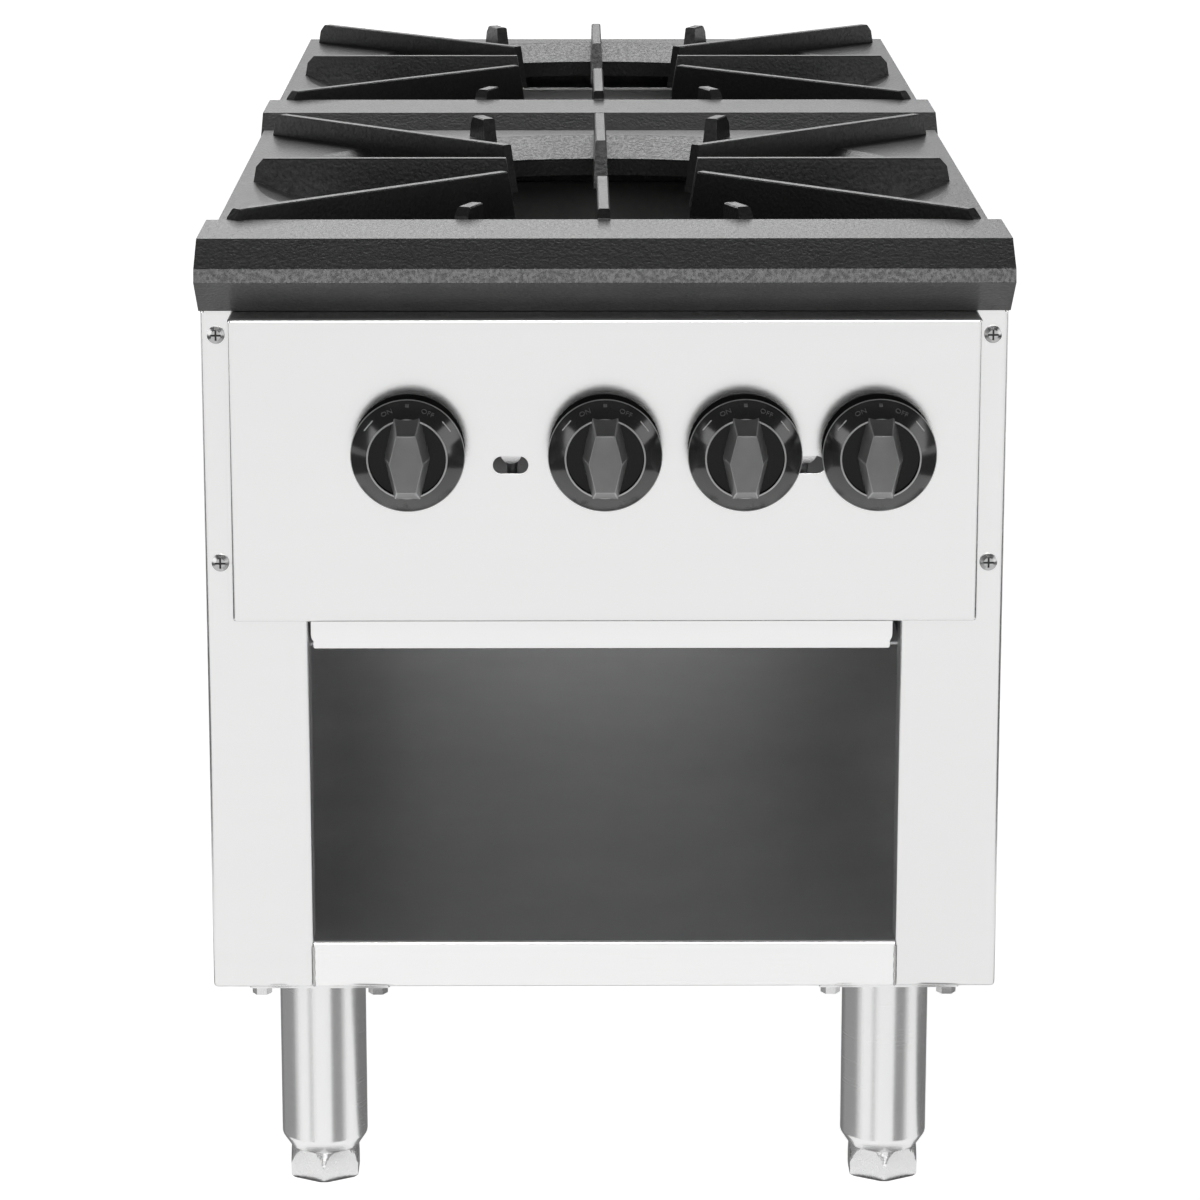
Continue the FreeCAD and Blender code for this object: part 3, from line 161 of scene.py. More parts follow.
class Shader:
    """The node tree of one material with a Principled surface."""

    def __init__(self, name: str) -> None:
        """Makes an empty material with a surface and an output.

        Args:
            name: The material's name.
        """
        self.material = bpy.data.materials.new(name)
        self.material.use_nodes = True
        self.tree = self.material.node_tree
        self.tree.nodes.clear()
        out = self.tree.nodes.new("ShaderNodeOutputMaterial")
        self.surface = self.tree.nodes.new("ShaderNodeBsdfPrincipled")
        self.tree.links.new(self.surface.outputs[0], out.inputs["Surface"])

    def node(self, kind: str, settings: dict, inputs: dict, out: Union[int, str] = 0) -> Wire:
        """Adds any node.

        Args:
            kind: The node's type.
            settings: Its properties, set first.
            inputs: Its sockets' values or wires, by name or index.
            out: The output wanted.

        Returns:
            That output.
        """
        node = self.tree.nodes.new(kind)
        for key, value in settings.items():
            setattr(node, key, value)
        for key, value in inputs.items():
            if isinstance(value, Wire):
                self.tree.links.new(value.socket, node.inputs[key])
            else:
                node.inputs[key].default_value = value
        return Wire(self.tree, node.outputs[out])

    def coords(self, scale: Triple = (1.0, 1.0, 1.0)) -> Wire:
        """Object coordinates, stretched by a scale."""
        plain = self.node("ShaderNodeTexCoord", {}, {}, "Object")
        return self.node("ShaderNodeMapping", {}, {"Vector": plain, "Scale": scale}, "Vector")

    def noise(self, vector: Wire, scale: float, detail: float = 3.0, rough: float = 0.6) -> Wire:
        """Noise between 0 and 1; detail is its octaves, and rough the weight of the finer ones."""
        inputs = {"Vector": vector, "Scale": scale, "Detail": detail, "Roughness": rough}
        return self.node("ShaderNodeTexNoise", {}, inputs)

    def cells(self, vector: Wire, scale: float) -> Wire:
        """Distance to the nearest of scattered points."""
        return self.node("ShaderNodeTexVoronoi", {}, {"Vector": vector, "Scale": scale})

    def inside(self, low: Triple, high: Triple) -> Wire:
        """1 between two corners, else 0.

        Args:
            low: The lowest corner.
            high: The highest corner.

        Returns:
            The mask.
        """
        split = [self.node("ShaderNodeSeparateXYZ", {}, {0: self.coords()}, axis) for axis in range(3)]
        mask = None
        for wire, least, most in zip(split, low, high):
            part = (wire > least) * (wire < most)
            mask = part if mask is None else mask * part
        return mask

    def ramp(self, value: Wire, stops: Sequence[Pair]) -> Wire:
        """A grey ramp over a value.

        Args:
            value: The value.
            stops: Two positions with their greys.

        Returns:
            The grey.
        """
        grey = self.node("ShaderNodeValToRGB", {}, {"Fac": value})
        for element, (position, tone) in zip(grey.socket.node.color_ramp.elements, stops):
            element.position = position
            element.color = (tone, tone, tone, 1.0)
        return grey

    def mixed(self, factor: Wire, low: Union[Wire, Colour], high: Union[Wire, Colour]) -> Wire:
        """A colour between two others."""
        ends = [end if isinstance(end, Wire) else (*end, 1.0) for end in (low, high)]
        return self.node("ShaderNodeMix", {"data_type": "RGBA"}, {0: factor, 6: ends[0], 7: ends[1]}, 2)

    def grey(self, value: Wire) -> Wire:
        """A grey colour of a value."""
        return self.node("ShaderNodeCombineColor", {}, {0: value, 1: value, 2: value})

    def bump(self, height: Wire, strength: float, distance: float) -> Wire:
        """A bumped normal; distance is the metres that a height of 1 stands for."""
        inputs = {"Height": height, "Strength": strength, "Distance": distance}
        return self.node("ShaderNodeBump", {}, inputs, "Normal")

    def set(self, **values: Union[Wire, float, Colour]) -> None:
        """Links or sets the surface's sockets.

        Args:
            values: Wires or values, by the socket's name with underscores for its spaces.
        """
        for key, value in values.items():
            socket = self.surface.inputs[key.replace("_", " ")]
            if isinstance(value, Wire):
                self.tree.links.new(value.socket, socket)
            elif isinstance(value, tuple):
                socket.default_value = (*value, 1.0)
            else:
                socket.default_value = value


MADE: dict[str, bpy.types.Material] = {}


class Finish:
    """A surface finish that makes its material the first time it is asked for.

    A bump is a strength with the metres that a height of 1 stands for.
    """

    name: str

    def paint(self, shader: Shader) -> None:
        """Builds the finish's nodes on a shader."""
        raise NotImplementedError

    def material(self) -> bpy.types.Material:
        """Makes the finish's one material, or finds it.

        Returns:
            The material.
        """
        if self.name not in MADE:
            shader = Shader(self.name)
            self.paint(shader)
            MADE[self.name] = shader.material
        return MADE[self.name]


@dataclass(frozen=True)
class BrushedSheet(Finish):
    """Stainless sheet, brushed where it shows and left dull inside a given box: the cabinet's inside,
    and on the drip tray its pan, where the darker tone is painted shade.
    """

    name: str
    brush: Brush
    tone: float = 0.77
    rough: float = 0.2
    # tone inside the box; on the drip tray this darker tone is painted shade
    dull_and_shade_tone: float = 0.78
    dull_rough: float = 0.36
    dull_and_shade_low: Triple = INSIDE_LOW
    dull_and_shade_high: Triple = INSIDE_HIGH
    streak_low: float = -0.035
    streak_high: Triple = (0.03, 0.03, 0.026)
    haze_scale: float = 6.0
    haze_tones: Pair = (0.85, 1.15)
    gloss_shift: float = -0.07
    streak_gloss: float = 0.1
    haze_gloss: float = 0.05
    bump: Pair = (0.05, 0.0002)

    def paint(self, shader: Shader) -> None:
        """Streaks drive tone, gloss and bump; a slow haze varies the gloss."""
        fine = shader.noise(shader.coords(self.brush.value), 1.0, 4.0, 0.7)
        haze = shader.noise(shader.coords(), self.haze_scale)
        # the box mask: duller gloss everywhere, and on the drip tray a darker tone painted as shade
        dull = shader.inside(self.dull_and_shade_low, self.dull_and_shade_high)
        low = (self.tone + self.streak_low,) * 3
        high = tuple(self.tone + step for step in self.streak_high)
        bright = shader.mixed(fine, low, high)
        grey = shader.mixed(haze, *[(self.dull_and_shade_tone * part,) * 3 for part in self.haze_tones])
        gloss = self.rough + self.gloss_shift + fine * self.streak_gloss + haze * self.haze_gloss
        shader.set(
            Base_Color=shader.mixed(dull, bright, grey),
            Roughness=gloss + dull * (self.dull_rough - self.rough),
            Metallic=1.0,
            Normal=shader.bump(fine, *self.bump),
        )


@dataclass(frozen=True)
class GalvanisedSheet(Finish):
    """Dull zinc-coated sheet with faint crystals."""

    name: str
    tone: float = 0.5
    dark: Triple = (0.82, 0.84, 0.86)
    crystal_scale: float = 95.0
    dust_scale: float = 420.0
    crystal_share: float = 0.6
    rough: float = 0.36
    rough_spread: float = 0.22
    shine: float = 0.85
    bump: Pair = (0.08, 0.0002)

    def paint(self, shader: Shader) -> None:
        """Crystals vary tone and gloss."""
        coords = shader.coords()
        crystal = shader.cells(coords, self.crystal_scale)
        dust = shader.noise(coords, self.dust_scale)
        mix = crystal * self.crystal_share + dust * (1.0 - self.crystal_share)
        low = tuple(self.tone * part for part in self.dark)
        shader.set(
            Base_Color=shader.mixed(mix, low, (self.tone,) * 3),
            Roughness=self.rough + mix * self.rough_spread,
            Metallic=self.shine,
            Normal=shader.bump(dust, *self.bump),
        )


@dataclass(frozen=True)
class CastIron(Finish):
    """Sand-cast iron under a thin dark coat, thinner on the plates and off low down, where the tone is
    also raised as painted light from below.

    Heights and relief are metres, and scales are waves for each metre.
    """

    name: str
    tone: float = 0.05
    rough: float = 0.4
    gloss: float = 0.2
    relief: float = 0.0009
    coat: float = 0.55
    plate_coat: float = 0.7
    plate_low: float = 0.5638
    plate_high: float = 0.5650
    # Under this height the coat is off and the tone is raised, as painted light from the floor's bounce
    bare_painted_light_below: float = 0.5516
    bare_painted_light_tone: float = 1.8
    grain_scale: float = 480.0
    coarse_scale: float = 160.0
    slow_scale: float = 18.0
    pit_scale: float = 130.0
    pit_stops: tuple = ((0.0, 0.0), (0.10, 1.0))
    skin_from: float = 0.38
    skin_to: float = 0.62
    thin_coat: float = 0.3
    coat_rough: float = 0.24
    grain_share: float = 0.6
    least_tone: float = 0.5
    rough_shift: float = -0.08
    rough_spread: float = 0.18
    bump_strength: float = 0.6
    bump_shares: Triple = (0.66, 0.28, 0.06)

    def paint(self, shader: Shader) -> None:
        """Grain and pits make the bump and break up the coat; slow noise varies the tone."""
        coords = shader.coords()
        height = shader.node("ShaderNodeSeparateXYZ", {}, {0: coords}, 2)
        plate = (height > self.plate_low) * (height < self.plate_high)
        bare_painted_light = height < self.bare_painted_light_below
        grain = shader.noise(coords, self.grain_scale, 2.0, 0.5)
        coarse = shader.noise(coords, self.coarse_scale, 2.0)
        slow = shader.noise(coords, self.slow_scale, 2.0)
        pits = shader.ramp(shader.cells(coords, self.pit_scale), self.pit_stops)
        patch = grain * self.grain_share + slow * (1.0 - self.grain_share)
        # Low down the tone is raised by a factor, as painted light standing in for bounce from below
        tone = self.tone * (self.least_tone + patch) * (1.0 + bare_painted_light * (self.bare_painted_light_tone - 1.0))
        skin_stops = ((self.skin_from, self.coat * self.thin_coat), (self.skin_to, self.coat))
        skin = shader.ramp(grain, skin_stops)
        of_grain, of_coarse, of_pits = self.bump_shares
        skin_height = grain * of_grain + coarse * of_coarse + pits * of_pits
        shader.set(
            Base_Color=shader.grey(tone),
            Roughness=self.rough + self.rough_shift + patch * self.rough_spread,
            Specular_IOR_Level=self.gloss,
            Coat_Weight=skin * (1.0 - plate * (1.0 - self.plate_coat)) * (1.0 - bare_painted_light),
            Coat_Roughness=self.coat_rough,
            Normal=shader.bump(skin_height, self.bump_strength, self.relief),
        )


@dataclass(frozen=True)
class GlossBlack(Finish):
    """Moulded black thermoset with a polished skin."""

    name: str
    tone: float = 0.022
    rough: float = 0.13
    gloss: float = 0.8
    flow_scale: float = 60.0
    scuff_scale: float = 900.0
    flow_tones: Pair = (0.8, 1.3)
    scuff_rough: float = 0.07
    flow_rough: float = 0.03
    bump: Pair = (0.03, 0.0004)

    def paint(self, shader: Shader) -> None:
        """A faint flow pattern in the skin, and fine scuffs in the gloss."""
        coords = shader.coords()
        flow = shader.noise(coords, self.flow_scale, 2.0)
        scuff = shader.noise(coords, self.scuff_scale, 4.0, 0.7)
        tones = [(self.tone * part,) * 3 for part in self.flow_tones]
        shader.set(
            Base_Color=shader.mixed(flow, *tones),
            Roughness=self.rough + (scuff - 0.5) * self.scuff_rough + flow * self.flow_rough,
            Specular_IOR_Level=self.gloss,
            Normal=shader.bump(flow, *self.bump),
        )


@dataclass(frozen=True)
class TurnedSteel(Finish):
    """Steel tube polished round its axis, with fine level lines."""

    name: str
    tone: float = 0.78
    rough: float = 0.2
    line_scale: Triple = (6.0, 6.0, 1400.0)
    line_tones: Pair = (-0.07, 0.06)
    haze_scale: float = 30.0
    gloss_shift: float = -0.05
    line_gloss: float = 0.1
    haze_gloss: float = 0.05
    bump: Pair = (0.12, 0.0002)

    def paint(self, shader: Shader) -> None:
        """Level lines drive gloss and bump."""
        lines = shader.noise(shader.coords(self.line_scale), 1.0)
        haze = shader.noise(shader.coords(), self.haze_scale, 2.0)
        tones = [(self.tone + step,) * 3 for step in self.line_tones]
        gloss = self.rough + self.gloss_shift + lines * self.line_gloss + haze * self.haze_gloss
        shader.set(
            Base_Color=shader.mixed(lines, *tones),
            Roughness=gloss,
            Metallic=1.0,
            Normal=shader.bump(lines, *self.bump),
        )


@dataclass(frozen=True)
class PolishedCasting(Finish):
    """Bright die casting with a soft, slightly wavy skin."""

    name: str
    tone: float = 0.8
    rough: float = 0.16
    wave_scale: float = 70.0
    spot_scale: float = 700.0
    spot_tones: Pair = (-0.06, 0.05)
    spot_rough: float = 0.12
    wave_share: float = 0.8
    bump: Pair = (0.2, 0.0012)

    def paint(self, shader: Shader) -> None:
        """Slow waves in the skin with small dull spots."""
        coords = shader.coords()
        wave = shader.noise(coords, self.wave_scale, 2.0)
        spots = shader.noise(coords, self.spot_scale)
        tones = [(self.tone + step,) * 3 for step in self.spot_tones]
        skin_height = wave * self.wave_share + spots * (1.0 - self.wave_share)
        shader.set(
            Base_Color=shader.mixed(spots, *tones),
            Roughness=self.rough + spots * self.spot_rough,
            Metallic=1.0,
            Normal=shader.bump(skin_height, *self.bump),
        )


@dataclass(frozen=True)
class PlainMetal(Finish):
    """Machined, plated or drawn metal of one colour with fine wear."""

    name: str
    light: Colour
    dark: Colour
    rough: float
    metallic: float = 1.0
    wear_scale: float = 160.0
    tool_scale: float = 1100.0
    rough_shift: float = -0.07
    wear_rough: float = 0.14
    bump: Pair = (0.10, 0.0003)

    def paint(self, shader: Shader) -> None:
        """Wear mixes the two tones and dulls the gloss."""
        coords = shader.coords()
        wear = shader.noise(coords, self.wear_scale, 4.0, 0.65)
        tool = shader.noise(coords, self.tool_scale, 2.0)
        shader.set(
            Base_Color=shader.mixed(wear, self.dark, self.light),
            Roughness=self.rough + self.rough_shift + wear * self.wear_rough,
            Metallic=self.metallic,
            Normal=shader.bump(tool * 0.5 + wear * 0.5, *self.bump),
        )


@dataclass(frozen=True)
class CrossScrew(PlainMetal):
    """Plated pan-head screws whose cross slots are painted dark as shade; metres, with the front
    screws' places.
    """

    spot_x: float = 0.2194
    mid_z: float = 0.4502
    half_z: float = 0.066
    arm: float = 0.00305
    slit: float = 0.0006
    head_y: float = -0.5081
    seat_y: float = -0.5060
    slot_shade_tone: float = 0.01

    def paint(self, shader: Shader) -> None:
        """Wear mixes two tones, and each front head's cross is painted dark as shade."""
        coords = shader.coords()
        x, y, z = [shader.node("ShaderNodeSeparateXYZ", {}, {0: coords}, axis) for axis in range(3)]
        off_x = abs(abs(x) - self.spot_x)
        off_z = abs(abs(z - self.mid_z) - self.half_z)
        level = (off_x < self.arm) * (off_z < self.slit)
        upright = (off_x < self.slit) * (off_z < self.arm)
        cross = (level + upright > 0.5) * (y > self.head_y) * (y < self.seat_y)
        wear = shader.noise(coords, self.wear_scale, 4.0, 0.65)
        plate = shader.mixed(wear, self.dark, self.light)
        shader.set(
            # The cross is painted near black as shade in the slots
            Base_Color=shader.mixed(cross, plate, (self.slot_shade_tone,) * 3),
            Roughness=self.rough + self.rough_shift + wear * self.wear_rough,
            Metallic=1.0 - cross,
            Normal=shader.bump(wear, *self.bump),
        )


@dataclass(frozen=True)
class StageFloor(Finish):
    """Pale floor, or a card, that glows evenly."""

    name: str
    tone: float = 0.9
    glow: float = 0.86
    rough: float = 0.9

    def paint(self, shader: Shader) -> None:
        """A matt surface with an even glow."""
        shader.set(Base_Color=(self.tone,) * 3, Roughness=self.rough)
        shader.set(Emission_Color=(1.0, 1.0, 1.0), Emission_Strength=self.glow)


PANEL_SHEET = BrushedSheet("panel_sheet", Brush.LEVEL)
SHELF_SHEET = BrushedSheet("shelf_sheet", Brush.ALONG_X, 0.84, 0.25)
# The drip tray's pan is painted dark, tone 0.2, as shade
TRAY_SHEET = BrushedSheet("tray_sheet", Brush.ALONG_X, 0.82, 0.25, 0.2, 0.5, TRAY_SHADE_LOW, TRAY_SHADE_HIGH)
ZINC_SHEET = GalvanisedSheet("zinc_sheet")
# Dark sheet for the crossmembers and burner frames
DARK_SHEET = PlainMetal("dark_sheet", (0.13, 0.128, 0.125), (0.07, 0.07, 0.07), 0.6, 0.4)
GRATE_IRON = CastIron("grate_iron")
BURNER_IRON = CastIron("burner_iron", 0.36, 0.6, 0.3, 0.0003, 0.05, bare_painted_light_below=0.0)
KNOB_BLACK = GlossBlack("knob_black")
# Darker black for the recess round the grip: painted shade in the hollow
KNOB_RECESS = GlossBlack("knob_recess", 0.004, 0.2, 0.2)
# Darker, matt black for the skirt's side: painted shade
KNOB_SIDE = GlossBlack("knob_side", 0.01, 0.6, 0.0)
# Pale grey for the knob's rounded rim edges: wear with a painted highlight
KNOB_EDGE = GlossBlack("knob_edge", 0.42, 0.3)
GRIP_FACE = GlossBlack("grip_face", 0.15, 0.32)
# Lighter grey on the grip's rounded edges: painted highlight lines
GRIP_EDGE = GlossBlack("grip_edge", 0.3, 0.25)
GRIP_SIDE = GlossBlack("grip_side", 0.13, 0.3, 0.7)
# Lighter grey for the raised words and pointer: painted highlight on the relief
KNOB_WORD = GlossBlack("knob_word", 0.16, 0.25)
KNOB_PRINT = PlainMetal("knob_print", (0.85, 0.85, 0.85), (0.7, 0.7, 0.7), 0.35, 0.0)
LEG_STEEL = TurnedSteel("leg_steel_turned", 0.78, 0.23)
FOOT_CASTING = PolishedCasting("foot_casting", 0.68, 0.2)
SCREW_PLATE = PlainMetal("screw_plate", (0.78, 0.78, 0.78), (0.6, 0.6, 0.6), 0.24)
PIPE_BLACK = PlainMetal("pipe_black", (0.05, 0.048, 0.045), (0.02, 0.02, 0.02), 0.42, 0.3)
BRASS = PlainMetal("valve_brass", (0.78, 0.6, 0.3), (0.55, 0.4, 0.18), 0.26)
ALLOY = PlainMetal("tube_alloy_drawn", (0.78, 0.78, 0.79), (0.62, 0.62, 0.64), 0.3)
PORT_SHADE = PlainMetal("port_shade", (0.012, 0.012, 0.012), (0.004, 0.004, 0.004), 0.8, 0.0)
WELD_GREY = PlainMetal("weld_grey", (0.55, 0.55, 0.54), (0.3, 0.3, 0.3), 0.35, 1.0, 700.0)
SHEET_SCREW = CrossScrew("sheet_screw", (0.5, 0.5, 0.5), (0.375, 0.375, 0.375), 0.24)
FLOOR = StageFloor("stage_floor")
FLAG_BLACK = StageFloor("flag_black", 0.02, 0.18)
FLAG_GREY = StageFloor("flag_grey", 0.02, 0.3)
FLAG_PALE = StageFloor("flag_pale", 0.02, 0.68)
FLAG_SIDE = StageFloor("flag_side", 0.02, 0.04)


def smooth_group(angle: float) -> bpy.types.NodeTree:
    """Geometry nodes that shade faces smooth and keep edges over an angle sharp.

    Args:
        angle: The angle in degrees.

    Returns:
        The node group.
    """
    name = f"smooth_{angle:.0f}"
    if name in bpy.data.node_groups:
        return bpy.data.node_groups[name]
    tree = bpy.data.node_groups.new(name, "GeometryNodeTree")
    tree.interface.new_socket("Geometry", in_out="INPUT", socket_type="NodeSocketGeometry")
    tree.interface.new_socket("Geometry", in_out="OUTPUT", socket_type="NodeSocketGeometry")
    start = tree.nodes.new("NodeGroupInput")
    end = tree.nodes.new("NodeGroupOutput")
    faces = tree.nodes.new("GeometryNodeSetShadeSmooth")
    edges = tree.nodes.new("GeometryNodeSetShadeSmooth")
    edges.domain = "EDGE"
    edges.inputs["Shade Smooth"].default_value = False
    fold = tree.nodes.new("GeometryNodeInputMeshEdgeAngle")
    over = tree.nodes.new("FunctionNodeCompare")
    over.data_type = "FLOAT"
    over.operation = "GREATER_THAN"
    over.inputs[1].default_value = math.radians(angle)
    tree.links.new(fold.outputs[0], over.inputs[0])
    tree.links.new(start.outputs[0], faces.inputs[0])
    tree.links.new(faces.outputs[0], edges.inputs[0])
    tree.links.new(over.outputs[0], edges.inputs["Selection"])
    tree.links.new(edges.outputs[0], end.inputs[0])
    return tree


def round_over(obj: bpy.types.Object, name: str, width: float, angle: float, segments: int) -> None:
    """Adds a live rounding of an object's edges.

    Args:
        obj: The object.
        name: The modifier's name.
        width: Metres from the edge to where the rounding starts.
        angle: Edges over this angle in degrees are rounded.
        segments: Faces across each rounding.
    """
    bevel = obj.modifiers.new(name, "BEVEL")
    bevel.width = width
    bevel.segments = segments
    bevel.limit_method = "ANGLE"
    bevel.angle_limit = math.radians(angle)
    bevel.miter_outer = "MITER_ARC"
    bevel.use_clamp_overlap = True


def dress(node: str, finish: Finish, round_edge: float = 0.0, angle: float = 32.0,
          corner_edge: float = 0.0) -> None:
    """Gives a CAD node its finish, with live modifiers that merge, round and shade its mesh.

    Args:
        node: The CAD node.
        finish: Its finish.
        round_edge: Width of its rounded edges in metres, or 0 for none.
        angle: Edges over this angle in degrees are rounded or stay sharp.
        corner_edge: Width at the corners of a six-sided piece, whose rims take round_edge; else 0.
    """
    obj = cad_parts[node]
    for slot in obj.material_slots:
        slot.material = finish.material()
    weld = obj.modifiers.new("merge", "WELD")
    weld.merge_threshold = MERGE_GAP
    if round_edge:
        flat = obj.modifiers.new("flat_faces", "DECIMATE")
        flat.decimate_type = "DISSOLVE"
        flat.angle_limit = math.radians(FLAT_ANGLE)
        if corner_edge:
            round_over(obj, "round_rim", round_edge, RIM_ANGLE, EDGE_FACES)
            round_over(obj, "round_corners", corner_edge, CORNER_ANGLE, CORNER_FACES)
        else:
            round_over(obj, "round_edges", round_edge, angle, EDGE_FACES)
    shade = obj.modifiers.new("shade", "NODES")
    shade.node_group = smooth_group(angle)
    if round_edge:
        even = obj.modifiers.new("even_faces", "WEIGHTED_NORMAL")
        even.keep_sharp = True
        even.weight = FLAT_WEIGHT
    LOG.info("dressed %s as %s", node, finish.name)


def mesh_object(name: str, bm: bmesh.types.BMesh, finishes: Iterable[Finish]) -> bpy.types.Object:
    """Makes an object from a bmesh and puts it in the scene.

    Args:
        name: The object's name.
        bm: Its mesh, in the row frame; freed here.
        finishes: The materials of its face indices.

    Returns:
        The object.
    """
    mesh = bpy.data.meshes.new(name)
    bm.to_mesh(mesh)
    bm.free()
    for finish in finishes:
        mesh.materials.append(finish.material())
    obj = bpy.data.objects.new(name, mesh)
    bpy.context.scene.collection.objects.link(obj)
    return obj


def piece(name: str, bm: bmesh.types.BMesh, finishes: Iterable[Finish], body: str) -> bpy.types.Object:
    """Makes a finished piece from a bmesh and lets it ride on a body.

    Args:
        name: The piece's name.
        bm: Its mesh, in the row frame; freed here.
        finishes: The materials of its face indices.
        body: The CAD body it moves with.

    Returns:
        The object.
    """
    obj = mesh_object(name, bm, finishes)
    obj.data.shade_smooth()
    obj.data.set_sharp_from_angle(angle=math.radians(SHARP_ANGLE))
    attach(obj, body)
    LOG.info("made %s", name)
    return obj


def rounded(bm: bmesh.types.BMesh, edges: Sequence[bmesh.types.BMEdge], width: float,
            segments: int) -> None:
    """Rounds edges of a mesh.

    Args:
        bm: The mesh.
        edges: The edges.
        width: Metres from the edge to where the rounding starts.
        segments: Faces across each rounding.
    """
    bmesh.ops.bevel(bm, geom=edges, offset=width, segments=segments, profile=0.5,
                    affect="EDGES", material=-1, clamp_overlap=True)


def lathe(bm: bmesh.types.BMesh, profile: Sequence[Pair], steps: int) -> None:
    """Spins an open or closed profile of (radius, height) millimetres round Z.

    Args:
        bm: The mesh that takes the form.
        profile: The outline, from the axis or round a closed loop.
        steps: Faces round the axis.
    """
    verts = [bm.verts.new((r * MM, 0.0, h * MM)) for r, h in profile]
    edges = [bm.edges.new(pair) for pair in zip(verts, verts[1:])]
    bmesh.ops.spin(bm, geom=verts + edges, cent=(0, 0, 0), axis=(0, 0, 1), dvec=(0, 0, 0),
                   angle=math.tau, steps=steps, use_merge=True, use_duplicate=False)
    bmesh.ops.remove_doubles(bm, verts=bm.verts[:], dist=SEAM_GAP)
    bmesh.ops.recalc_face_normals(bm, faces=bm.faces[:])


def merged(parts: Sequence[bmesh.types.BMesh]) -> bmesh.types.BMesh:
    """Puts several meshes into one, and frees them.

    Args:
        parts: The meshes.

    Returns:
        One mesh that holds them all.
    """
    whole = bmesh.new()
    for part in parts:
        mesh = bpy.data.meshes.new("part")
        part.to_mesh(mesh)
        part.free()
        whole.from_mesh(mesh)
        bpy.data.meshes.remove(mesh)
    return whole


class KnobFace(Enum):
    """The faces of a knob, as indices into its finishes."""

    CONE = 0
    GRIP = 1
    RECESS = 2
    EDGE = 3
    SIDE = 4
    GRIP_EDGE = 5
    GRIP_SIDE = 6


KNOB_FINISHES = (KNOB_BLACK, GRIP_FACE, KNOB_RECESS, KNOB_EDGE, KNOB_SIDE, GRIP_EDGE, GRIP_SIDE)


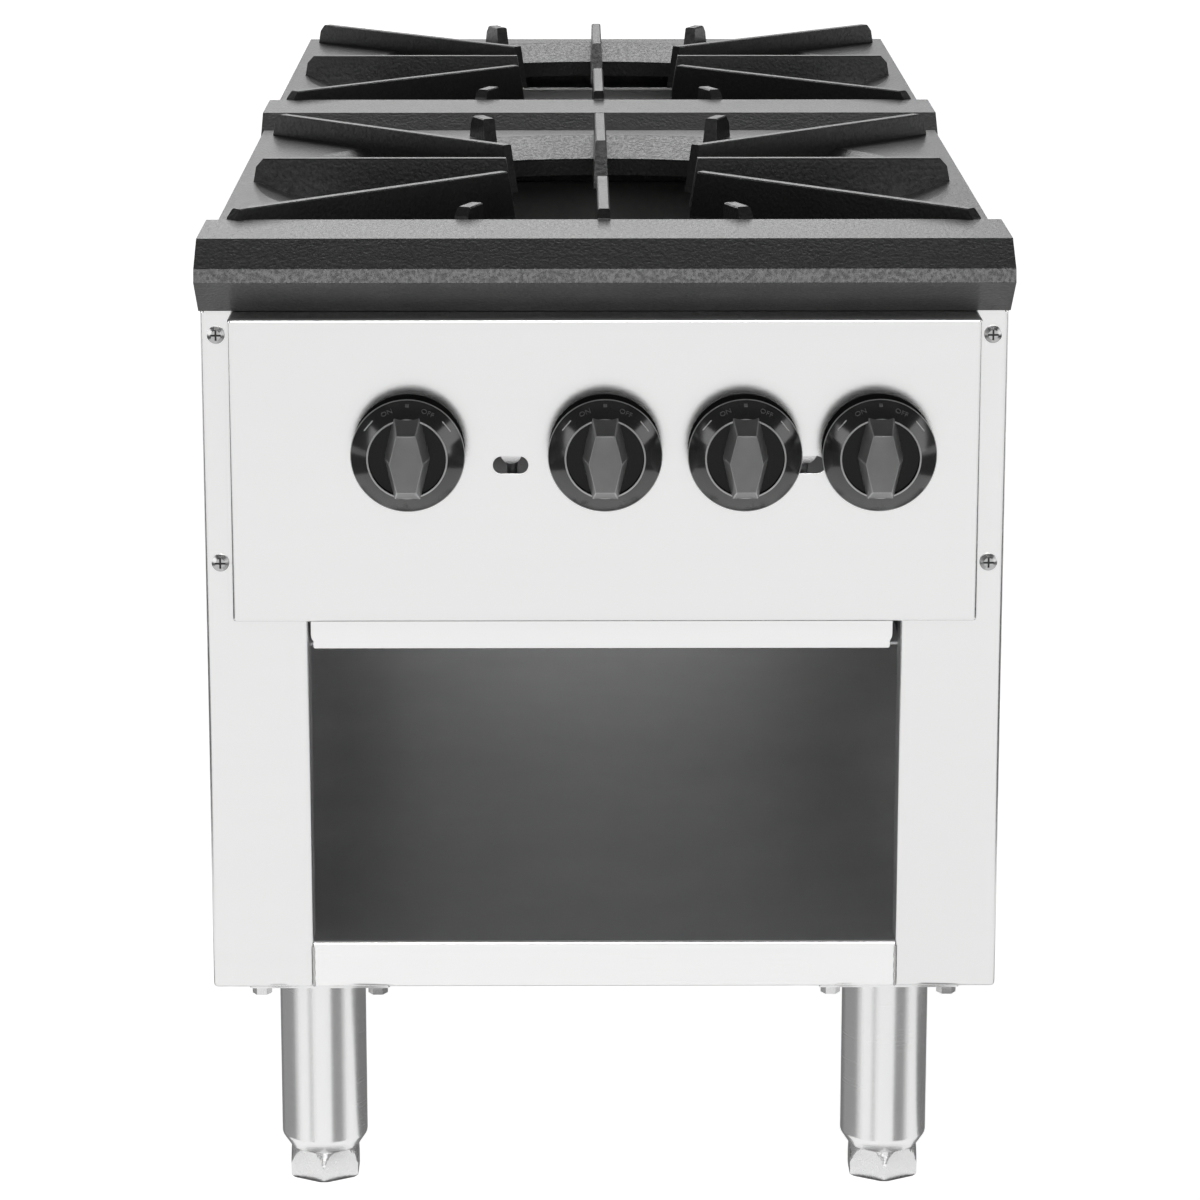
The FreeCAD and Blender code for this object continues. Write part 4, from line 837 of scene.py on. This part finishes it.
@dataclass
class Knob:
    """A skirted burner knob with raised words; its sizes are millimetres and its angles degrees."""

    spot: str
    outer_r: float = 32.0
    rim_r: float = 22.35
    skirt_h: float = 18.0
    rim_h: float = 28.0
    floor_h: float = 25.0
    lip: float = 0.7
    back_r: float = 31.5
    # Width of the rounded rim edges, which are painted pale as wear and highlight
    worn_highlight: float = 0.45
    dish: float = 0.8
    wall: float = 2.4
    hub_r: float = 9.0
    turn_steps: int = 96
    grip_base: Triple = (12.7, 7.5, 23.8)
    grip_face: Triple = (9.3, 5.3, 16.0)
    grip_h: float = 18.0
    grip_edge: float = 0.55
    grip_edge_l: float = 20.0
    grip_edge_faces: int = 3
    face_tilt: float = 0.95
    back_y: float = -33.0
    centre_z: float = 456.7
    word_h: float = 4.4
    word_r: float = 27.5
    word_relief: float = 0.25
    word_curve: int = 3
    words: tuple = (("ON", -24.0), ("OFF", 24.5))
    pointer_r: float = 29.0
    pointer: Triple = (2.0, 2.2, 0.5)
    tick_r: float = 28.0
    tick: Triple = (7.4, 0.6, 0.4)
    ticks: Pair = (-50.0, 51.5)
    mark_edge: float = 0.1

    @property
    def body(self) -> str:
        """The CAD body and node of this knob."""
        return f"{self.spot}_knob"

    def seat(self) -> Matrix:
        """Turns a form that points up Z towards the front, at this knob's place."""
        spot = place(KNOB_X[self.spot], self.back_y, self.centre_z)
        return Matrix.Translation(spot) @ Matrix.Rotation(math.radians(90), 4, "X")

    def skirt(self) -> bmesh.types.BMesh:
        """The spun skirt, rim and recess, with edges pale from wear and painted light as a highlight,
        and a hollow back.

        Returns:
            Its mesh before seating.
        """
        bm = bmesh.new()
        inner = self.back_r - self.wall
        ceiling = self.skirt_h - self.wall
        lip_r = self.rim_r - self.lip
        dish_h = self.floor_h - self.dish
        worn_highlight = self.worn_highlight
        profile = [
            (0.0, self.wall),
            (self.hub_r, self.wall),
            (self.hub_r, ceiling),
            (inner, ceiling),
            (inner, 0.0),
            (self.back_r, 0.0),
            (self.outer_r - worn_highlight / 3, self.skirt_h - worn_highlight),
            (self.outer_r, self.skirt_h),
            (self.outer_r - worn_highlight, self.skirt_h + worn_highlight),
            (self.rim_r + worn_highlight / 2, self.rim_h - worn_highlight / 2),
            (self.rim_r - worn_highlight / 3, self.rim_h),
            (lip_r, self.rim_h),
            (lip_r - self.lip / 2, self.floor_h),
            (self.hub_r, dish_h),
            (0.0, dish_h),
        ]
        lathe(bm, profile, self.turn_steps)
        for face in bm.faces:
            middle = face.calc_center_median()
            radius, height = middle.xy.length / MM, middle.z / MM
            # The recess takes the darker black, as painted shade
            if radius < lip_r and height > ceiling:
                face.material_index = KnobFace.RECESS.value
            # The skirt's side takes the darker, matt black, as painted shade
            elif height < self.skirt_h - worn_highlight:
                face.material_index = KnobFace.SIDE.value
            # The rounded rim edges take the pale edge tone, wear with a painted highlight
            elif height > self.skirt_h and radius > self.outer_r - worn_highlight:
                face.material_index = KnobFace.EDGE.value
            elif height > self.rim_h - worn_highlight / 2 and radius > lip_r + self.lip / 4:
                face.material_index = KnobFace.EDGE.value
            else:
                face.material_index = KnobFace.CONE.value
        return bm

    def grip(self) -> bmesh.types.BMesh:
        """The six-sided grip, drafted from its base at the recess to its smaller face.

        Returns:
            Its mesh before seating.
        """
        bm = bmesh.new()
        mid, end, reach = self.grip_base
        base = self.floor_h - self.dish
        outline = ((mid, 0), (end, reach), (-end, reach), (-mid, 0), (-end, -reach), (end, -reach))
        low = bm.faces.new([bm.verts.new((x * MM, y * MM, base * MM)) for x, y in outline])
        grown = bmesh.ops.extrude_face_region(bm, geom=[low])["geom"]
        top = [v for v in grown if isinstance(v, bmesh.types.BMVert)]
        bmesh.ops.translate(bm, verts=top, vec=(0, 0, (self.floor_h + self.grip_h - base) * MM))
        middles = [v for v in top if abs(v.co.y) < MM]
        ends = [v for v in top if v not in middles]
        face_mid, face_end, face_reach = self.grip_face
        bmesh.ops.scale(bm, verts=middles, vec=(face_mid / mid, 1, 1))
        bmesh.ops.scale(bm, verts=ends, vec=(face_end / end, face_reach / reach, 1))
        bmesh.ops.recalc_face_normals(bm, faces=bm.faces[:])
        edges = [e for e in bm.edges if max(v.co.z for v in e.verts) > (base + 1) * MM]
        rounded(bm, edges, self.grip_edge * MM, self.grip_edge_faces)
        for face in bm.faces:
            if face.normal.z > self.face_tilt:
                face.material_index = KnobFace.GRIP.value
            # Small rounded faces take the lighter grip edge tone, as painted highlight lines
            elif face.calc_area() < self.grip_edge_l * self.grip_edge * MM * MM:
                face.material_index = KnobFace.GRIP_EDGE.value
            else:
                face.material_index = KnobFace.GRIP_SIDE.value
        return bm

    def on_cone(self, angle: float, radius: float) -> Matrix:
        """A frame on the skirt's cone: X runs clockwise, Y outwards down the cone.

        Args:
            angle: Degrees clockwise from the top, seen from the front.
            radius: Millimetres from the axis.

        Returns:
            The frame before seating.
        """
        turn = math.radians(angle)
        out = Vector((math.sin(turn), math.cos(turn), 0))
        run, fall = self.outer_r - self.rim_r, self.rim_h - self.skirt_h
        length = math.hypot(run, fall)
        across = Vector((math.cos(turn), -math.sin(turn), 0))
        down = out * (run / length) + Vector((0, 0, -fall / length))
        normal = across.cross(down)
        height = self.rim_h - (radius - self.rim_r) * fall / run
        spot = (out * radius + Vector((0, 0, height))) * MM
        cone_axes = Matrix((across, down, normal)).transposed().to_4x4()
        return Matrix.Translation(spot) @ cone_axes

    def raised_word(self, word: str, angle: float) -> bmesh.types.BMesh:
        """A word in thin relief on the cone.

        Args:
            word: The word.
            angle: Degrees clockwise from the top.

        Returns:
            Its mesh before seating.
        """
        curve = bpy.data.curves.new(f"word_{word}", "FONT")
        curve.body = word
        curve.align_x = "CENTER"
        curve.align_y = "CENTER"
        curve.size = self.word_h * MM
        curve.extrude = self.word_relief * MM
        curve.resolution_u = self.word_curve
        text = bpy.data.objects.new("word", curve)
        mesh = bpy.data.meshes.new_from_object(text)
        bm = bmesh.new()
        bm.from_mesh(mesh)
        bpy.data.objects.remove(text)
        bpy.data.curves.remove(curve)
        bpy.data.meshes.remove(mesh)
        bmesh.ops.transform(bm, matrix=self.on_cone(angle, self.word_r), verts=bm.verts[:])
        return bm

    def mark(self, angle: float, radius: float, size: Triple) -> bmesh.types.BMesh:
        """A small raised bar on the cone.

        Args:
            angle: Degrees clockwise from the top.
            radius: Millimetres from the axis.
            size: Millimetres along, down and off the cone.

        Returns:
            Its mesh before seating.
        """
        bm = bmesh.new()
        bmesh.ops.create_cube(bm, size=MM)
        bmesh.ops.scale(bm, verts=bm.verts[:], vec=size)
        rounded(bm, bm.edges[:], self.mark_edge * MM, 1)
        bmesh.ops.transform(bm, matrix=self.on_cone(angle, radius), verts=bm.verts[:])
        return bm

    def add(self, name: str, parts: Sequence[bmesh.types.BMesh],
            finishes: Iterable[Finish]) -> bpy.types.Object:
        """Seats forms at the knob's place as one piece that turns with it.

        Args:
            name: The piece's name, before the knob's spot.
            parts: Its meshes before seating; freed here.
            finishes: The materials of its face indices.

        Returns:
            The object.
        """
        form = merged(parts)
        bmesh.ops.transform(form, matrix=self.seat(), verts=form.verts[:])
        return piece(f"{name}_{self.spot}", form, finishes, self.body)

    def build(self) -> None:
        """Makes the knob and its raised words and ticks."""
        knob = self.add("knob", [self.skirt(), self.grip()], KNOB_FINISHES)
        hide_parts(f"{self.spot}_knob")
        words = [self.raised_word(word, angle) for word, angle in self.words]
        pointer = self.mark(0.0, self.pointer_r, self.pointer)
        # The words and pointer take the lighter grey, as painted highlight on the relief
        self.add("words", [*words, pointer], (KNOB_WORD,))
        ticks = [self.mark(angle, self.tick_r, self.tick) for angle in self.ticks]
        self.add("ticks", ticks, (KNOB_PRINT,))


@dataclass
class BurnerPorts:
    """Rows of drilled ports on the top of one burner casting; millimetres."""

    spot: str
    centre_y: float
    rings: tuple
    top_z: float = 514.0
    boss_r: float = 2.3
    boss_draft: float = 0.9
    hole_r: float = 1.35
    hole_draft: float = 0.8
    hole_shade: float = 0.95
    boss_h: float = 1.1
    sunk: float = 0.4
    hole_floor: float = 0.1
    turn_steps: int = 10

    def port(self) -> bmesh.types.BMesh:
        """One boss with its hole, at the origin.

        Returns:
            Its mesh.
        """
        bm = bmesh.new()
        profile = [
            (self.boss_r, -self.sunk),
            (self.boss_r * self.boss_draft, self.boss_h),
            (self.hole_r, self.boss_h),
            (self.hole_r * self.hole_draft, self.hole_floor),
            (0.0, self.hole_floor),
        ]
        lathe(bm, profile, self.turn_steps)
        for face in bm.faces:
            if face.calc_center_median().xy.length < self.hole_r * self.hole_shade * MM:
                face.material_index = 1
        return bm

    def build(self) -> None:
        """Sets the bosses round each ring."""
        sample = self.port()
        mesh = bpy.data.meshes.new("port")
        sample.to_mesh(mesh)
        sample.free()
        whole = bmesh.new()
        for radius, count in self.rings:
            for number in range(count):
                angle = math.tau * (number + 0.5) / count
                y = self.centre_y + radius * math.sin(angle)
                spot = place(radius * math.cos(angle), y, self.top_z)
                start = len(whole.verts)
                whole.from_mesh(mesh)
                whole.verts.ensure_lookup_table()
                bmesh.ops.translate(whole, verts=whole.verts[start:], vec=spot)
        bpy.data.meshes.remove(mesh)
        piece(f"ports_{self.spot}", whole, (BURNER_IRON, PORT_SHADE), BODY)


@dataclass
class ShelfSeams:
    """Short weld beads where the shelf's front flange meets the posts; millimetres."""

    joint_x: float = 169.7
    front_y: float = -0.1
    low_z: float = 130.2
    high_z: float = 155.0
    bead_r: float = 0.9
    stretch: Pair = (0.5, 1.2)
    pitch: float = 1.5
    least_swell: float = 0.75
    more_swell: float = 0.35
    swell_turn: float = 2.4

    def build(self) -> None:
        """Makes a row of overlapping beads on each side."""
        bm = bmesh.new()
        count = int((self.high_z - self.low_z) / self.pitch)
        for side in (-1, 1):
            for number in range(count):
                wave = math.sin(number * self.swell_turn + side) ** 2
                swell = self.least_swell + self.more_swell * wave
                spot = place(side * self.joint_x, self.front_y, self.low_z + number * self.pitch)
                scale = Matrix.Diagonal((swell, *self.stretch, 1.0))
                bmesh.ops.create_icosphere(bm, subdivisions=2, radius=self.bead_r * MM,
                                           matrix=Matrix.Translation(spot) @ scale)
        piece("shelf_seams", bm, (WELD_GREY,), BODY)


class Body:
    """The sheet-metal body, its legs and the gas train, carried over from the CAD frame."""

    SHEET_EDGE = 0.4 * MM
    LEVEL = ("left_side_panel", "right_side_panel", "back_panel", "control_panel")
    ZINC = ("base_channel_front", "base_channel_rear", "tray_runner_left", "tray_runner_right",
            "manifold_bracket_left", "manifold_bracket_right")
    # Crossmembers and burner frames, dressed in the dark sheet
    DARK_NODES = ("front_crossmember", "mid_crossmember", "front_burner_frame", "rear_burner_frame")
    PIPES = ("manifold", "manifold_elbow", "supply_pipe", "inlet_locknut")
    TUBES = ("rear_outer_tube", "rear_inner_tube", "pilot_line_front", "pilot_line_rear")
    PLATED = ("leg_bolts", "pilot_valve_front", "pilot_valve_rear")

    def build(self) -> None:
        """Dresses every node of the body, and the shutters and stems that move in the gas train."""
        for node in self.LEVEL:
            dress(node, PANEL_SHEET, self.SHEET_EDGE)
        dress("bottom_shelf", SHELF_SHEET, self.SHEET_EDGE)
        for nodes, finish in ((self.ZINC, ZINC_SHEET), (self.DARK_NODES, DARK_SHEET),
                              (self.PIPES, PIPE_BLACK), (self.TUBES, ALLOY),
                              (("sheet_screws",), SHEET_SCREW), (self.PLATED, SCREW_PLATE),
                              (("orifice_spuds",), BRASS)):
            for node in nodes:
                dress(node, finish)
        for spot in SPOTS:
            dress(f"{spot}_burner", BURNER_IRON)
            dress(f"{spot}_shutter", ZINC_SHEET)
            dress(f"{spot}_valve", BRASS)
            dress(f"{spot}_stem", BRASS)
        for corner in CORNERS:
            dress(f"leg_{corner}", LEG_STEEL)
        ShelfSeams().build()


class MovingParts:
    """The grates, tray and feet, carried over from the CAD frame."""

    GRATE_EDGE = 1.6 * MM
    GRATE_ANGLE = 15.0
    FOOT_RIM = 0.6 * MM
    FOOT_CORNER = 2.8 * MM

    def build(self) -> None:
        """Dresses the grates, the tray and the feet."""
        for node in ("front_grate", "rear_grate"):
            dress(node, GRATE_IRON, self.GRATE_EDGE, self.GRATE_ANGLE)
        dress("drip_tray", TRAY_SHEET, Body.SHEET_EDGE)
        for corner in CORNERS:
            dress(f"foot_{corner}", FOOT_CASTING, self.FOOT_RIM, corner_edge=self.FOOT_CORNER)


@dataclass(frozen=True)
class SoftBox:
    """A rectangular light; metres, with its brightness as seen.

    A box that isn't lit shows only in reflections.
    """

    name: str
    at: Triple
    aim: Triple
    size: Pair
    radiance: float
    lit: bool = True

    def build(self) -> None:
        """Puts the light in the scene, hidden from the camera."""
        light = bpy.data.lights.new(self.name, "AREA")
        light.shape = "RECTANGLE"
        light.size, light.size_y = self.size
        light.energy = self.radiance * self.size[0] * self.size[1] * math.pi
        obj = bpy.data.objects.new(self.name, light)
        obj.location = self.at
        obj.rotation_euler = (Vector(self.aim) - Vector(self.at)).to_track_quat("-Z", "Y").to_euler()
        obj.visible_camera = False
        obj.visible_diffuse = self.lit
        bpy.context.scene.collection.objects.link(obj)


SOFT_BOXES = (
    SoftBox("back_wall", (-3.65, 9.0, 3.95), (-3.65, 0.0, 3.95), (9.9, 4.4), 1.75),
    SoftBox("back_top", (0.0, 2.9, 3.3), (0.0, 0.0, 0.55), (5.0, 1.3), 4.8, False),
    SoftBox("ceiling", (0.0, -0.2, 4.4), (0.0, -0.2, 0.0), (4.4, 3.0), 0.08),
    SoftBox("front_box", (0.0, -4.6, 2.6), (0.0, 0.0, 0.5), (3.0, 1.5), 8.5, False),
    SoftBox("front_low", (0.5, -4.6, 1.1), (0.0, 0.0, 0.3), (2.6, 1.0), 1.35, False),
    SoftBox("left_box", (-3.4, -2.2, 1.4), (0.0, -0.3, 0.4), (1.6, 2.4), 2.2, False),
    SoftBox("right_box", (3.4, -1.6, 1.4), (0.0, -0.3, 0.4), (1.6, 2.4), 1.8, False),
)


@dataclass
class Studio:
    """Floor, cards, lights and camera; metres and degrees."""

    floor_half: float = 30.0
    camera_at: Triple = (-0.01641, -2.9787, 0.9598)
    pitch: float = 13.59
    yaw: float = 0.32
    lens: float = 133.26
    sensor: float = 36.0
    fill: float = 0.1
    leg_x: float = 0.167
    leg_y: Pair = (-0.4645, 0.5045)
    leg_facing: Pair = (-90.0, 90.0)
    flag_z: float = 0.001
    under_half: Pair = (0.62, 0.46)
    side_half: Pair = (1.2, 0.7)
    side_x: float = 2.1
    side_y: float = -0.75
    card_r: float = 0.06
    card_h: float = 0.12
    card_steps: int = 6
    pad_r: float = 0.0245
    pad_steps: int = 48
    bands: tuple = ((31.0, 12.0), (-90.0, 25.0))
    lines: tuple = ((-25.0, 5.0), (47.0, 4.0), (-60.0, 5.0))

    def floor(self) -> None:
        """A large pale floor."""
        bm = bmesh.new()
        bmesh.ops.create_grid(bm, x_segments=2, y_segments=2, size=self.floor_half)
        obj = mesh_object("studio_floor", bm, (FLOOR,))

    def flag(self, name: str, bm: bmesh.types.BMesh, finish: Finish) -> None:
        """A dark card that only reflections see.

        Args:
            name: Its name.
            bm: Its mesh; freed here.
            finish: Its finish.
        """
        obj = mesh_object(name, bm, (finish,))
        obj.visible_camera = False
        obj.visible_diffuse = False
        obj.visible_shadow = False

    def leg_card(self, bm: bmesh.types.BMesh, foot: Vector, turn: float, half: float) -> None:
        """A curved card that stands on the floor round part of a leg.

        Args:
            bm: The mesh that takes it.
            foot: The point of the leg's axis at the card's lower edge.
            turn: Degrees from X to its middle.
            half: Degrees from its middle to each end.
        """
        spin = Matrix.Rotation(math.radians(turn - half), 3, "Z")
        low = foot + spin @ Vector((self.card_r, 0, 0))
        ends = [bm.verts.new(low + Vector((0, 0, z))) for z in (0.0, self.card_h)]
        bmesh.ops.spin(bm, geom=[*ends, bm.edges.new(ends)], cent=foot, axis=(0, 0, 1), dvec=(0, 0, 0),
                       angle=math.radians(2 * half), steps=self.card_steps, use_duplicate=False)

    def flags(self) -> None:
        """Cards that draw dark bands on the legs and sheets: some on the floor, some round each leg."""
        sides = ((-self.side_x, self.side_y), (self.side_x, self.side_y))
        floor_cards = (("under_flag", ((0.0, 0.0),), self.under_half, FLAG_BLACK),
                       ("side_flags", sides, self.side_half, FLAG_SIDE))
        for name, spots, half, finish in floor_cards:
            bm = bmesh.new()
            for x, y in spots:
                shape = Matrix.Translation((x, y, self.flag_z)) @ Matrix.Diagonal((*half, 1.0, 1.0))
                bmesh.ops.create_grid(bm, x_segments=1, y_segments=1, size=1.0, matrix=shape)
            self.flag(name, bm, finish)
        legs = [(x, y, facing) for x in (-self.leg_x, self.leg_x)
                for y, facing in zip(self.leg_y, self.leg_facing)]
        bm = bmesh.new()
        for x, y, _ in legs:
            spot = Matrix.Translation((x, y, self.flag_z / 2))
            bmesh.ops.create_circle(bm, cap_ends=True, segments=self.pad_steps, radius=self.pad_r,
                                    matrix=spot)
        self.flag("foot_pads", bm, FLAG_SIDE)
        leg_cards = (("leg_flags", self.bands, FLAG_GREY), ("leg_lines", self.lines, FLAG_PALE))
        for name, cards, finish in leg_cards:
            bm = bmesh.new()
            for x, y, facing in legs:
                for turn, half in cards:
                    self.leg_card(bm, Vector((x, y, 2 * self.flag_z)), facing + turn, half)
            self.flag(name, bm, finish)

    def lights(self) -> None:
        """Soft light from the front, both sides, the back and above, with an even fill."""
        world = bpy.data.worlds.new("studio")
        world.use_nodes = True
        back = world.node_tree.nodes["Background"]
        back.inputs["Color"].default_value = (1.0, 1.0, 1.0, 1.0)
        back.inputs["Strength"].default_value = self.fill
        bpy.context.scene.world = world
        for box in SOFT_BOXES:
            box.build()
        bpy.context.scene.view_settings.view_transform = "Standard"

    def camera(self) -> None:
        """The photograph's camera."""
        data = bpy.data.cameras.new("camera")
        data.lens = self.lens
        data.sensor_width = self.sensor
        data.dof.use_dof = False
        obj = bpy.data.objects.new("camera", data)
        obj.location = self.camera_at
        obj.rotation_euler = (math.radians(90 - self.pitch), 0.0, math.radians(-self.yaw))
        bpy.context.scene.collection.objects.link(obj)
        bpy.context.scene.camera = obj

    def build(self) -> None:
        """Makes the stage."""
        self.floor()
        self.flags()
        self.lights()
        self.camera()


def main() -> None:
    """Builds the looks in order and reports each piece."""
    logging.basicConfig(level=logging.INFO, format="%(name)s: %(message)s")
    Studio().build()
    Body().build()
    MovingParts().build()
    for spot in SPOTS:
        Knob(spot).build()
    for name, centre in BURNER_Y.items():
        BurnerPorts(f"{name}_outer", centre, OUTER_PORTS).build()
        BurnerPorts(f"{name}_inner", centre, INNER_PORTS).build()


if __name__ == "__main__":
    main()
